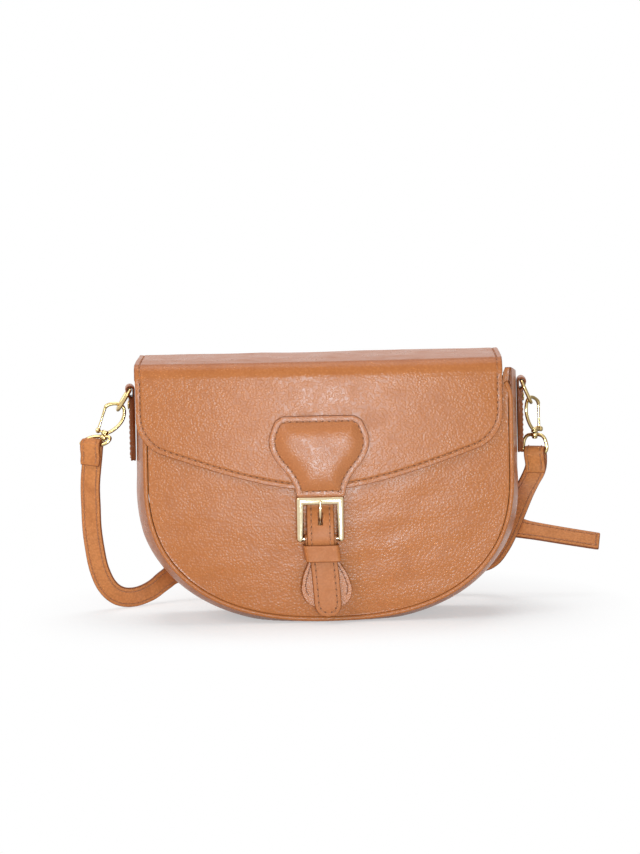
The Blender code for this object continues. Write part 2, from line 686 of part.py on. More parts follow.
def buckle_parts(name, width, height, bar, top_bar, thickness, heel_inset, finish):
    """A flat bevelled frame with a round heel bar: back face at y = 0, top edge at z = 0."""
    half = width / 2
    block = box_mesh(name, (-half, -thickness, -height), (half, 0.0, 0.0))
    frame = add_object(name, block, finish, smooth=False)
    low = (-(half - bar), -thickness - OVERRUN, -height - OVERRUN)
    window = helper(name + "_window", box_mesh(name + "_window", low, (half - bar, OVERRUN, -top_bar)))
    combine(frame, "DIFFERENCE", window)
    bevel = frame.modifiers.new("edge", "BEVEL")
    bevel.width = BUCKLE_BEVEL
    bevel.segments = 1
    heel_z = -(height - heel_inset)
    middle = -thickness / 2
    reach = half - bar / 2
    rod = rod_mesh(name + "_heel", (-reach, middle, heel_z), (reach, middle, heel_z), HEEL_RADIUS, 10)
    heel = helper(name + "_heel", rod)
    combine(frame, "UNION", heel)
    return frame, [window, heel]


def prong_parts(name, heel, line, hole_radius, finish):
    """A buckle's prong: a round pin along a line, with an eye round the heel bar."""
    pin = add_object(name, tube_mesh(name, line, PRONG_RADIUS, 8, start=(1.0, 0.0, 0.0)), finish)
    eye_radius = hole_radius + PRONG_RADIUS
    side = np.array([PRONG_RADIUS * 1.2, 0.0, 0.0])
    eye = helper(name + "_eye", rod_mesh(name + "_eye", heel - side, heel + side, eye_radius, 12))
    bore = helper_rod(name + "_bore", heel - 3 * side, heel + 3 * side, hole_radius)
    combine(pin, "UNION", eye)
    combine(pin, "DIFFERENCE", bore)
    return pin, [eye, bore]


def build_closure(flap_hinge):
    """The tab that hangs from the flap: tongue, buckle, keeper and the magnet's stud."""
    heel_v = -(BUCKLE_DROP + BUCKLE_HEIGHT - HEEL_INSET)
    heel_w = BUCKLE_THICKNESS / 2
    fold = HEEL_RADIUS + GAP + TAB_LAYER / 2
    front_w = GAP / 2 + TAB_LAYER / 2
    base_v = TAB_BASE_HEIGHT - CLOSURE_TOP
    foot_v = TAB_FOOT_HEIGHT - CLOSURE_TOP
    neck_v = KEEPER_FOOT - CLOSURE_TOP
    keeper_v = neck_v + KEEPER_HEIGHT / 2
    tip_v = TONGUE_TIP_HEIGHT - CLOSURE_TOP
    turn = Matrix.Rotation(math.radians(-CLOSURE_TILT_DEG), 4, "Y")
    skin = HALF_DEPTH + PANEL_BULGE * float(swell(CLOSURE_PIVOT_X, MAGNET_HEIGHT))
    lean = math.atan2(CLOSURE_BACK - skin - MAGNET_STANDOFF, CLOSURE_TOP - MAGNET_HEIGHT)
    turn = turn @ Matrix.Rotation(lean, 4, "X")
    hinge = pivot("closure_hinge", (CLOSURE_PIVOT_X, -(CLOSURE_BACK - TONGUE_BEHIND), CLOSURE_TOP), turn)

    rows = [(v, front_w, w) for v, w in rounded_end(TAB_BASE_WIDTH, base_v, foot_v, 4, 2.4)[::-1]]
    rows += [(base_v, front_w, TAB_BASE_WIDTH), ((base_v + neck_v) / 2, front_w, (TAB_BASE_WIDTH * 0.86))]
    rows += [(neck_v - GAP * 3, front_w, TAB_NECK_WIDTH), (neck_v + GAP * 3, front_w, TAB_NECK_WIDTH)]
    rows += [(keeper_v, front_w * 1.5, TAB_NECK_WIDTH)]
    for degrees in (10, 50, 90, 120, 150):
        angle = math.radians(degrees)
        w = heel_w + fold * math.cos(angle)
        rows.append((heel_v + fold * math.sin(angle), w, TAB_NECK_WIDTH))
    back_w = -front_w
    return_v = heel_v - KEEPER_HEIGHT
    rows += [(heel_v - fold * 1.4, back_w * 1.1, TAB_NECK_WIDTH), (return_v, back_w, TAB_NECK_WIDTH)]
    rows = np.array(rows)
    front = belt_mesh("closure_tab", rows[:, :2], rows[:, 2], TAB_LAYER, TAB_LAYER * 3)
    tab = add_object("closure_tab", front, PATCH_LEATHER)
    slot_half = PRONG_RADIUS * 1.2 + GAP
    slot_foot = heel_v - HEEL_RADIUS - PRONG_RADIUS - 3 * GAP
    slot_low = (-slot_half, -(heel_w + TONGUE_BEHIND) - fold * 2, slot_foot)
    slot_high = (slot_half, -(heel_w + TONGUE_BEHIND) + fold * 2, heel_v + fold * 2)
    slot = helper("tab_slot", box_mesh("tab_slot", slot_low, slot_high))
    combine(tab, "DIFFERENCE", slot)

    back = [(v, back_w, w) for v, w in rounded_end(TAB_BASE_WIDTH, base_v, foot_v, 4, 2.4)[::-1]]
    back += [(base_v, back_w, TAB_BASE_WIDTH), ((base_v + neck_v) / 2, back_w, (TAB_BASE_WIDTH * 0.86))]
    back += [(neck_v - GAP * 3, back_w, TAB_NECK_WIDTH), (neck_v + GAP * 3, back_w, TAB_NECK_WIDTH)]
    back += [(return_v - GAP, back_w, TAB_NECK_WIDTH)]
    back = np.array(back)
    layer = belt_mesh("closure_tab_back", back[:, :2], back[:, 2], TAB_LAYER, TAB_LAYER * 4)
    tab_back = add_object("closure_tab_back", layer, PATCH_LEATHER)

    low_w = front_w + TAB_LAYER / 2 + GAP + TONGUE_THICKNESS / 2
    high_w = heel_w + fold + TAB_LAYER / 2 + GAP + TONGUE_THICKNESS / 2
    under_w = -TONGUE_BEHIND
    tip = rounded_end(TONGUE_WIDTH, tip_v + TONGUE_WIDTH * 0.55, tip_v, 4, 2.2)
    path = [(v, low_w, w) for v, w in tip[::-1]]
    path += [(tip_v + TONGUE_WIDTH * 0.55, low_w, TONGUE_WIDTH), (base_v, low_w, TONGUE_WIDTH)]
    path += [(neck_v, low_w * 1.03, TONGUE_WIDTH)]
    path += [(heel_v - KEEPER_HEIGHT * 0.5, (low_w + high_w) / 2, TONGUE_WIDTH)]
    path += [(heel_v, high_w, TONGUE_WIDTH), (heel_v * 0.79, high_w * 0.94, TONGUE_WIDTH)]
    path += [(heel_v * 0.57, high_w * 0.66, TONGUE_WIDTH), (heel_v * 0.40, high_w * 0.20, TONGUE_WIDTH)]
    path += [(heel_v * share, under_w, TONGUE_WIDTH) for share in (0.26, 0.12, 0.0)]
    path = np.array(path)
    belt = belt_mesh("tongue", path[:, :2], path[:, 2], TONGUE_THICKNESS, TONGUE_THICKNESS * 2)
    tongue = add_object("tongue", belt, STRAP_LEATHER)
    hole_v = heel_v * 0.56
    hole_low = (-PRONG_HOLE_WIDTH / 2, -high_w - TONGUE_BEHIND - OVERRUN, hole_v - PRONG_HOLE_LENGTH / 2)
    hole_high = (PRONG_HOLE_WIDTH / 2, OVERRUN, hole_v + PRONG_HOLE_LENGTH / 2)
    hole = helper("tongue_hole", box_mesh("tongue_hole", hole_low, hole_high))
    combine(tongue, "DIFFERENCE", hole)

    back_face = -(fold - heel_w + TAB_LAYER / 2) - GAP - KEEPER_THICKNESS / 2
    front_face = (low_w + high_w) / 2 + TONGUE_THICKNESS / 2 + GAP * 2 + KEEPER_THICKNESS / 2
    half = TAB_NECK_WIDTH / 2 + GAP + KEEPER_THICKNESS / 2
    loop = rounded_box_loop(half, back_face, front_face, KEEPER_THICKNESS)
    loop = np.stack([loop[:, 0], -(loop[:, 1] + TONGUE_BEHIND), 0 * loop[:, 0] + keeper_v], axis=1)
    band = band_mesh("closure_keeper", loop, (0.0, 0.0, 1.0), KEEPER_HEIGHT, KEEPER_THICKNESS)
    keeper = add_object("closure_keeper", band, STRAP_LEATHER)

    frame, cutters = buckle_parts("buckle_frame", BUCKLE_WIDTH, BUCKLE_HEIGHT, BUCKLE_BAR, BUCKLE_TOP_BAR,
                                  BUCKLE_THICKNESS, HEEL_INSET, PALE_GOLD)
    shift = Matrix.Translation((0.0, -TONGUE_BEHIND, -BUCKLE_DROP))
    for piece in [frame] + cutters:
        piece.data.transform(shift)

    rest_w = BUCKLE_THICKNESS + GAP + PRONG_RADIUS
    eye_v = heel_v + HEEL_RADIUS + GAP + PRONG_RADIUS / 2
    pin = [(eye_v, heel_w), (heel_v * 0.72, heel_w * 1.2), (heel_v * 0.54, heel_w * 2.2)]
    pin += [(heel_v * 0.36, rest_w * 1.04), (heel_v * 0.20, rest_w)]
    pin += [(-BUCKLE_DROP - BUCKLE_TOP_BAR * 0.45, rest_w)]
    line = smooth_line(closure_place(pin), PRONG_RADIUS * 2)
    heel = closure_place([(heel_v, heel_w)])[0]
    prong, prong_helpers = prong_parts("buckle_prong", heel, line, HEEL_RADIUS + GAP, PALE_GOLD)

    stud_w = back_w - TAB_LAYER / 2 - GAP
    stud_v = MAGNET_HEIGHT - CLOSURE_TOP
    stud_y = -(stud_w + TONGUE_BEHIND)
    face, rear = (0.0, stud_y, stud_v), (0.0, stud_y + STUD_THICKNESS, stud_v)
    disc = rod_mesh("magnet_stud", face, rear, STUD_RADIUS, 24)
    stud = add_object("magnet_stud", disc, STEEL)
    boss_end = stud_y + STUD_THICKNESS + STUD_BOSS_LENGTH
    inside = (0.0, stud_y + STUD_THICKNESS / 2, stud_v)
    boss = rod_mesh("stud_boss", inside, (0.0, boss_end, stud_v), STUD_BOSS_RADIUS, 12)
    combine(stud, "UNION", helper("stud_boss", boss))
    helpers = [slot, hole, bpy.data.objects["stud_boss"]] + cutters + prong_helpers
    for piece in [tab, tab_back, tongue, keeper, frame, prong, stud] + helpers:
        piece.data.transform(hinge.matrix_world)
    heel_pivot = pivot("buckle_heel", hinge.matrix_world @ Vector(heel), turn)
    hang(heel_pivot, hinge)
    hang(hinge, flap_hinge)
    carry(heel_pivot, prong)
    carry(hinge, tab, tab_back, tongue, keeper, frame, stud)


def build_magnet_socket():
    """The magnet's socket on the front panel and its washer behind the leather."""
    lean = math.tan(math.radians(CLOSURE_TILT_DEG))
    x = CLOSURE_PIVOT_X + (CLOSURE_TOP - MAGNET_HEIGHT) * lean
    skin = HALF_DEPTH + PANEL_BULGE * float(swell(x, MAGNET_HEIGHT))
    upper = HALF_DEPTH + PANEL_BULGE * float(swell(x, MAGNET_HEIGHT + SOCKET_RADIUS))
    slope = (upper - skin) / SOCKET_RADIUS
    facing = unit(np.array([0.0, -1.0, -slope]))
    middle = np.array([x, -skin, MAGNET_HEIGHT])
    seat = middle + facing * (PANEL_THICKNESS / 2 + GAP * 2)
    disc = rod_mesh("magnet_socket", seat, seat + facing * SOCKET_THICKNESS, SOCKET_RADIUS, 24)
    socket = add_object("magnet_socket", disc, STEEL)
    inner = seat + facing * (SOCKET_THICKNESS - STUD_BOSS_LENGTH)
    outer = seat + facing * (SOCKET_THICKNESS + OVERRUN)
    combine(socket, "DIFFERENCE", helper_rod("socket_bore", inner, outer, SOCKET_HOLE_RADIUS, 16))
    back = middle - facing * (PANEL_THICKNESS / 2 + GAP * 2)
    plate = rod_mesh("magnet_washer", back, back - facing * WASHER_THICKNESS, WASHER_RADIUS, 20)
    return [socket, add_object("magnet_washer", plate, STEEL)]


def tab_point(side, out, height):
    """A point at mid depth beside the gusset: out from its skin on one side, at a height."""
    return (side * (GUSSET_SIDE + out), 0.0, height)


def build_side_tab(name, side):
    """The leather tab on the gusset, folded over the ring's bar, and the rivet that clamps it."""
    inner = GAP + TAB_THICKNESS / 2
    centre = inner + EYE_RADIUS
    outer = inner + TAB_THICKNESS + GAP
    foot = TAB_FOOT
    bar = RING_BAR_HEIGHT
    rise = bar - foot
    taper = ((0.0, 0.24), (0.05, 0.42), (0.30, 0.60), (0.55, 0.94))
    rows = [(inner, foot + rise * share, width) for share, width in taper]
    rows += [(inner, bar - EYE_RADIUS * 2, 1.0), (inner, bar - EYE_RADIUS * 0.5, 1.0)]
    for degrees in (180, 135, 90, 45, 0):
        angle = math.radians(degrees)
        rows.append((centre + EYE_RADIUS * math.cos(angle), bar + EYE_RADIUS * math.sin(angle), 1.0))
    rows += [(outer + TAB_THICKNESS, bar - EYE_RADIUS * 1.5, 1.0), (outer, bar - EYE_RADIUS * 3, 1.0)]
    rows += [(outer, foot + rise * share, width) for share, width in taper[::-1]]
    line = np.array([tab_point(side, out, height) + (width * TAB_WIDTH,) for out, height, width in rows])
    line = smooth_line(line, TAB_WIDTH / 2)
    across = np.broadcast_to((0.0, 1.0, 0.0), (len(line), 3))
    band = ribbon_mesh("side_tab_" + name, line[:, :3], across, line[:, 3], TAB_THICKNESS)
    tab = add_object("side_tab_" + name, band, LEATHER)
    level = bar - RIVET_DROP
    skin = outer + TAB_THICKNESS / 2 + GAP
    middle = tab_point(side, skin + RIVET_HEAD / 2, level)
    shank = rod_mesh("shank_" + name, tab_point(side, GAP, level), middle, STEM_RADIUS)
    top = tab_point(side, skin + RIVET_HEAD, level)
    head = rod_mesh("tab_rivet_" + name, tab_point(side, skin, level), top, RIVET_RADIUS, 16)
    bore_end = tab_point(side, skin + OVERRUN, level)
    bore = rod_mesh("rivet_bore_" + name, tab_point(side, -OVERRUN, level), bore_end, STEM_RADIUS + GAP)
    rivet = add_object("tab_rivet_" + name, head, HOOK_GOLD)
    combine(rivet, "UNION", helper("shank_" + name, shank))
    combine(tab, "DIFFERENCE", helper("rivet_bore_" + name, bore))
    return tab, rivet


def d_loop(half, depth, count=13):
    """A D as (across, down) points: a straight bar at zero and a full curve below it."""
    angles = np.linspace(math.radians(10), math.radians(170), count)
    reach = np.sign(np.cos(angles)) * np.abs(np.cos(angles)) ** 0.5
    curve = np.stack([half * reach, depth * np.sin(angles) ** 0.85], axis=1)
    bar = np.array([[-half * 0.88, 0.0], [0.0, 0.0], [half * 0.88, 0.0]])
    return np.concatenate([curve, bar])


def build_ring(name, side, lean_deg):
    """A D-ring that hangs from its tab, carried on its straight bar."""
    lean = math.radians(lean_deg)
    bar = np.array((side * RING_BAR_X, 0.0, RING_BAR_HEIGHT))
    hang = np.array((side * math.sin(lean), 0.0, -math.cos(lean)))
    loop = d_loop(RING_WIDTH / 2, RING_DEPTH)
    points = bar + np.outer(loop[:, 0], (0.0, 1.0, 0.0)) + np.outer(loop[:, 1], hang)
    facing = np.cross(hang, (0.0, 1.0, 0.0))
    mesh = tube_mesh("ring_" + name, points, RING_RADIUS, 8, closed=True, start=facing)
    ring = add_object("ring_" + name, mesh, HOOK_GOLD)
    carry(pivot("ring_pivot_" + name, bar), ring)
    return bar + hang * RING_DEPTH


class HookFrame:
    """Where a snap hook stands: its collar's foot, its axis and the bow's side to the bag."""

    def __init__(self, seat, axis, toward):
        self.axis = unit(np.asarray(axis, float))
        toward = np.asarray(toward, float)
        self.toward = unit(toward - self.axis * toward.dot(self.axis))
        self.normal = np.cross(self.axis, self.toward)
        self.foot = seat - self.axis * RING_SEAT - self.toward * RING_SEAT_OFFSET

    def at(self, toward, up, out=0.0):
        """A point by its distances towards the bag, up the axis and out of the bow's plane."""
        return self.foot + self.toward * toward + self.axis * up + self.normal * out

    def line(self, shares):
        """Points of the bow's plane given as shares of its width and height."""
        return np.array([self.at(a * BOW_WIDTH, b * BOW_HEIGHT) for a, b in shares])


BOW_SHARES = (
    (0.06, 0.05),
    (0.30, 0.19),
    (0.50, 0.38),
    (0.61, 0.58),
    (0.60, 0.77),
    (0.49, 0.93),
    (0.30, 1.00),
    (0.06, 0.99),
    (-0.18, 0.93),
    (-0.33, 0.86),
    (-0.39, 0.79),
)
GATE_FOOT_SHARES = (-0.36, 0.07)
GATE_TIP_SHARES = (-0.39, 0.76)


def build_hook(name, frame):
    """A snap hook: collar, riveted stem, open bow and sprung gate, carried on the stem's axis."""
    label = "hook_" + name
    bow_line = smooth_line(frame.line(BOW_SHARES), BOW_WIRE)
    bow = add_object(label, tube_mesh(label, bow_line, BOW_RADIUS, 8, start=frame.normal), HOOK_GOLD)
    collar = helper_rod(label + "_collar", frame.at(0.0, 0.0), frame.at(0.0, COLLAR_HEIGHT), COLLAR_RADIUS)
    drop = GAP + BOSS_HEIGHT + GAP
    upper, lower = frame.at(0.0, COLLAR_HEIGHT / 2), frame.at(0.0, -drop - STEM_HEAD / 2)
    stem = helper_rod(label + "_stem", upper, lower, STEM_RADIUS, 10)
    upper, lower = frame.at(0.0, -drop), frame.at(0.0, -drop - STEM_HEAD)
    head = helper_rod(label + "_head", upper, lower, STEM_HEAD_RADIUS)
    foot = (GATE_FOOT_SHARES[0] * BOW_WIDTH, GATE_FOOT_SHARES[1] * BOW_HEIGHT)
    half = GATE_WIDTH / 2
    reach = half + GAP + CHEEK_THICKNESS
    operands = [collar, stem, head]
    for side in (-1, 1):
        start = frame.at(foot[0], foot[1], side * (half + GAP))
        end = frame.at(foot[0], foot[1], side * reach)
        eye = rod_mesh(label + "_cheek", start, end, GATE_EYE_RADIUS)
        operands.append(helper(label + "_cheek", eye))
        out = side * (half + GAP + CHEEK_THICKNESS / 2)
        far, near = frame.at(foot[0], foot[1], out), frame.at(0.0, foot[1], out * 0.9)
        arm = rod_mesh(label + "_arm", far, near, CHEEK_THICKNESS / 2, 6)
        operands.append(helper(label + "_arm", arm))
    ends = [frame.at(foot[0], foot[1], way * (reach - half / 3)) for way in (-1, 1)]
    pin = rod_mesh(label + "_pin", ends[0], ends[1], GATE_PIN_RADIUS, 8)
    operands.append(helper(label + "_pin", pin))
    combine(bow, "UNION", *operands)

    gate_label = "gate_" + name
    tip = frame.line([GATE_TIP_SHARES])[0]
    root = frame.at(*foot)
    start = root + unit(tip - root) * GATE_EYE_RADIUS * 0.7
    gate = add_object(gate_label, rod_mesh(gate_label, start, tip, GATE_WIDTH / 2, 10), HOOK_GOLD)
    eye = helper_rod(gate_label + "_eye", frame.at(*foot, -half), frame.at(*foot, half), GATE_EYE_RADIUS)
    ends = [frame.at(*foot, -reach), frame.at(*foot, reach)]
    bore = helper_rod(gate_label + "_bore", ends[0], ends[1], GATE_PIN_RADIUS + GAP / 2, 10)
    combine(gate, "UNION", eye)
    combine(gate, "DIFFERENCE", bore)
    carry(pivot("hook_stem_" + name, frame.foot), bow)
    carry(pivot("gate_pin_" + name, root), gate)


def build_swivel(name, frame, across):
    """The swivel loop: its boss turns on the hook's stem and its bar holds the strap."""
    label = "swivel_" + name
    across = unit(across - frame.axis * across.dot(frame.axis))
    boss_level = -GAP - BOSS_HEIGHT / 2
    depth = SWIVEL_DROP + boss_level
    bar = frame.at(0.0, -SWIVEL_DROP)
    loop = d_loop(SWIVEL_WIDTH / 2, depth)
    points = bar + np.outer(loop[:, 0], across) + np.outer(loop[:, 1], frame.axis)
    facing = np.cross(frame.axis, across)
    loop = tube_mesh(label, points, SWIVEL_RADIUS, 8, closed=True, start=facing)
    wire = add_object(label, loop, HOOK_GOLD)
    top = frame.at(0.0, -GAP)
    bottom = frame.at(0.0, -GAP - BOSS_HEIGHT)
    boss = helper(label + "_boss", rod_mesh(label + "_boss", top, bottom, BOSS_RADIUS, 12))
    bore_top = frame.at(0.0, OVERRUN)
    bore_foot = frame.at(0.0, -GAP - BOSS_HEIGHT - GAP * 3)
    bore = helper_rod(label + "_bore", bore_top, bore_foot, STEM_RADIUS + GAP, 10)
    combine(wire, "UNION", boss)
    combine(wire, "DIFFERENCE", bore)
    return bar, across


def build_hardware():
    """Tabs, rings, hooks and swivels on both sides; returns where the straps' ends hang."""
    ends = {}
    for name, side, lean_deg in (("left", -1, LEFT_RING_LEAN_DEG), ("right", 1, RIGHT_RING_LEAN_DEG)):
        build_side_tab(name, side)
        seat = build_ring(name, side, lean_deg)
        lean = math.radians(LEFT_HOOK_LEAN_DEG if side < 0 else RIGHT_HOOK_LEAN_DEG)
        yaw = 0.0 if side < 0 else math.radians(RIGHT_HOOK_YAW_DEG)
        axis = (math.sin(lean), 0.0, math.cos(lean))
        toward = (-side * math.cos(yaw), -math.sin(yaw), 0.0)
        frame = HookFrame(seat, axis, toward)
        build_hook(name, frame)
        turn = math.radians(LEFT_SWIVEL_YAW_DEG if side < 0 else RIGHT_SWIVEL_YAW_DEG)
        bar, across = build_swivel(name, frame, np.array((math.cos(turn), -math.sin(turn), 0.0)))
        ends[name] = (bar, frame.axis, across)
    return ends


def strap_fold(bar, up, across):
    """Rows of a strap's end folded over a bar: short end in front, over the top, down behind."""
    front = np.cross(across, up)
    front = front if front[1] < 0 else -front
    radius = SWIVEL_RADIUS + GAP + STRAP_THICKNESS / 2
    pinch = STRAP_THICKNESS + GAP - radius
    table = [(-FOLD_LENGTH, pinch), (-FOLD_LENGTH * 0.55, pinch + GAP), (-radius * 1.2, radius * 0.8)]
    table += [(radius * math.sin(a), radius * math.cos(a)) for a in np.radians((0, 45, 90, 135, 180))]
    table += [(-FOLD_LENGTH * 0.5, -radius)]
    return [np.concatenate([bar + up * rise + front * out, across]) for rise, out in table]


def placed(shares):
    """Rows of a route in real sizes, from its shares of the body's sizes."""
    size = np.array((SEAM_HALF, BODY_DEPTH, BODY_HEIGHT, 1.0, 1.0, 1.0))
    return [np.array(row) * size[: len(row)] for row in shares]


def adjuster_matrix():
    """From a buckle's own frame, top edge at z = 0, to its place: its length along -X, its face to +Y."""
    turn = Matrix(((0, 0, -1, 0), (0, -1, 0, 0), (-1, 0, 0, 0), (0, 0, 0, 1)))
    return Matrix.Translation((ADJUSTER_X, ADJUSTER_Y, ADJUSTER_Z)) @ turn


def adjuster_rows(table):
    """Rows of a strap in the adjuster, from (height, standoff) pairs of the buckle's own frame."""
    return [np.array((ADJUSTER_X - v, ADJUSTER_Y + w, ADJUSTER_Z, 0.0, 0.0, -1.0)) for v, w in table]


def strap_object(name, rows):
    """A strap through rows of place and width direction."""
    table = np.array(rows)
    table[:, 3:] = unit(table[:, 3:])
    line = smooth_line(table, STRAP_STEP)
    ribbon = ribbon_mesh(name, line[:, :3], line[:, 3:], STRAP_WIDTH, STRAP_THICKNESS)
    return add_object(name, ribbon, STRAP_LEATHER)


def build_straps(ends):
    """The long strap from the left hook, the short one from the right, and their adjuster."""
    half = STRAP_THICKNESS / 2
    heel_v = -(ADJUSTER_LENGTH - HEEL_INSET)
    heel_w = ADJUSTER_THICKNESS / 2
    fold = HEEL_RADIUS + GAP + half
    main_w = half + GAP / 2
    straight_v = heel_v - STRAIGHT_LENGTH / 2

    short = strap_fold(*ends["right"]) + placed(SHORT_STRAP_SHARES)
    table = [(straight_v, main_w), (straight_v * 0.85, main_w), (heel_v * 1.25, main_w * 1.3)]
    turns = np.radians((0, 45, 90, 135, 180))
    table += [(heel_v + fold * math.sin(a), heel_w + fold * math.cos(a)) for a in turns]
    table += [(heel_v * 1.25, -main_w * 1.1), (heel_v * 1.55, -main_w)]
    short_strap = strap_object("short_strap", short + adjuster_rows(table))
    eye = HEEL_RADIUS + PRONG_RADIUS + 3 * GAP
    slot_half = PRONG_RADIUS * 1.2 + GAP
    near = (-slot_half, -heel_w - fold * 2, heel_v - eye)
    slot = box_mesh("strap_slot", near, (slot_half, -heel_w + fold * 2, heel_v + fold * 2))
    slot.transform(adjuster_matrix())
    combine(short_strap, "DIFFERENCE", helper("strap_slot", slot))

    high_w = heel_w + fold + half + GAP + half
    low_w = main_w + half + GAP + half
    under_w = -GAP - half
    table = [(heel_v * -0.35, under_w), (0.0, under_w), (heel_v * 0.16, under_w)]
    table += [(heel_v * 0.36, high_w * 0.22)]
    table += [(heel_v * 0.60, high_w * 0.68), (heel_v * 0.80, high_w * 0.95), (heel_v, high_w)]
    table += [(heel_v * 1.25, main_w * 1.3 + STRAP_THICKNESS + GAP * 2), (heel_v * 1.6, low_w)]
    table += [(straight_v * 0.85, low_w), (straight_v, low_w)]
    rows = strap_fold(*ends["left"])
    rows += placed(LONG_STRAP_SHARES)
    down = [np.concatenate([row[:3], -row[3:]]) for row in adjuster_rows(table) + placed(TAIL_SHARES)]
    end = np.array(TAIL_END_SHARES) * np.array((SEAM_HALF, BODY_DEPTH, BODY_HEIGHT))
    down.append(np.concatenate([end, (0.12, 0.0, 0.99)]))
    long_strap = strap_object("long_strap", rows + down)
    hole_v = heel_v * 0.55
    near = (-PRONG_HOLE_WIDTH / 2, -high_w - OVERRUN, hole_v - PRONG_HOLE_LENGTH / 2)
    hole = box_mesh("strap_hole", near, (PRONG_HOLE_WIDTH / 2, OVERRUN, hole_v + PRONG_HOLE_LENGTH / 2))
    hole.transform(adjuster_matrix())
    combine(long_strap, "DIFFERENCE", helper("strap_hole", hole))

    sizes = (ADJUSTER_WIDTH, ADJUSTER_LENGTH, ADJUSTER_BAR, ADJUSTER_BAR, ADJUSTER_THICKNESS)
    frame, cutters = buckle_parts("strap_buckle_frame", *sizes, HEEL_INSET, HOOK_GOLD)
    rest_w = ADJUSTER_THICKNESS + GAP + PRONG_RADIUS
    eye_v = heel_v + HEEL_RADIUS + GAP + PRONG_RADIUS / 2
    pin = [(eye_v, heel_w), (heel_v * 0.76, heel_w * 1.25), (heel_v * 0.56, heel_w * 2.6)]
    pin += [(heel_v * 0.38, rest_w * 1.04), (heel_v * 0.20, rest_w), (-ADJUSTER_BAR * 0.4, rest_w)]
    pin = np.array([(0.0, -w, v) for v, w in pin])
    heel = np.array((0.0, -heel_w, heel_v))
    pin = smooth_line(pin, PRONG_RADIUS * 2)
    prong, prong_helpers = prong_parts("strap_buckle_prong", heel, pin, HEEL_RADIUS + GAP, HOOK_GOLD)
    keepers = []
    front_face = low_w + half + GAP * 4 + STRAP_KEEPER_THICKNESS / 2
    backs = {"strap_keeper_fixed": -main_w - half, "strap_keeper_sliding": main_w - half}
    for index, (name, back) in enumerate(backs.items()):
        level = heel_v - STRAP_KEEPER_FIRST - index * STRAP_KEEPER_SPACING
        wide = STRAP_WIDTH / 2 + GAP + STRAP_KEEPER_THICKNESS / 2
        rear = back - GAP - STRAP_KEEPER_THICKNESS / 2
        loop = rounded_box_loop(wide, rear, front_face, STRAP_KEEPER_THICKNESS)
        loop = np.stack([loop[:, 0], -loop[:, 1], 0 * loop[:, 0] + level], axis=1)
        band = band_mesh(name, loop, (0.0, 0.0, 1.0), STRAP_KEEPER_WIDTH, STRAP_KEEPER_THICKNESS)
        keepers.append(add_object(name, band, STRAP_LEATHER))
    place = adjuster_matrix()
    for piece in [frame, prong] + cutters + prong_helpers + keepers:
        piece.data.transform(place)
    carry(pivot("strap_buckle_heel", place @ Vector(heel)), prong)


def main():
    """Build every sub-assembly in order."""
    clear_scene()
    build_body()
    build_closure(build_flap())
    build_magnet_socket()
    build_straps(build_hardware())


main()
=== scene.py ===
"""The leather shoulder bag, dressed for its picture.

Every length is in metres. The front of the bag faces -Y, +X is the viewer's right and the
bag stands on z = 0. Each sub-assembly is a class; its sizes are the ones of the solids.
"""

import logging
import math
from collections.abc import Sequence
from dataclasses import dataclass, field
from enum import Enum

import bpy
import numpy as np
from mathutils import Matrix


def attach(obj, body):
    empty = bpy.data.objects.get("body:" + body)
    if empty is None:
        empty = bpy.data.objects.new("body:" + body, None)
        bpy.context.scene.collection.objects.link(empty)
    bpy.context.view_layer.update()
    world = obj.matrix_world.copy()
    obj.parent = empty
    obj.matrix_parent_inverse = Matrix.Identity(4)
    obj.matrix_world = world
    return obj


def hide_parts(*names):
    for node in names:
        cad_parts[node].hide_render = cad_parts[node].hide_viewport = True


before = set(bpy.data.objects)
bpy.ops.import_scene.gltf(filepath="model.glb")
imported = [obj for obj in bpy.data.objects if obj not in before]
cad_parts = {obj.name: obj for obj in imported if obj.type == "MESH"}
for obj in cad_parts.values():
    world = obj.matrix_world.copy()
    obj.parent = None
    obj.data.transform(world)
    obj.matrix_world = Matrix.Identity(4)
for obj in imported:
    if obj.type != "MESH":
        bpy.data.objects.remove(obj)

LOG = logging.getLogger("shoulder_bag")
GAP = 0.0003
CORNER_CUT = 0.0008
TURNED_SIDES = 28

Array = np.ndarray
Piece = bpy.types.Object
Finish = bpy.types.Material
Socket = bpy.types.NodeSocket
Colour = tuple[float, float, float, float]
WHITE = (1.0, 1.0, 1.0, 1.0)
HALF_TURN = np.radians((0, 22, 45, 68, 90, 112, 135, 158, 180))


def unit(vectors: Array) -> Array:
    """Vectors of an array scaled to length one.

    Args:
        vectors: Any array whose last axis holds the vector.

    Returns:
        The same array with each vector divided by its length.
    """
    return vectors / np.maximum(np.linalg.norm(vectors, axis=-1, keepdims=True), 1e-12)


def tangents_of(line: Array, closed: bool = False) -> Array:
    """Unit direction at each point of a line, from its two neighbours.

    Args:
        line: Points, shape (n, 3).
        closed: True where the last point joins the first.

    Returns:
        Directions, shape (n, 3).
    """
    if closed:
        return unit(np.roll(line, -1, axis=0) - np.roll(line, 1, axis=0))
    return unit(np.gradient(line, axis=0))


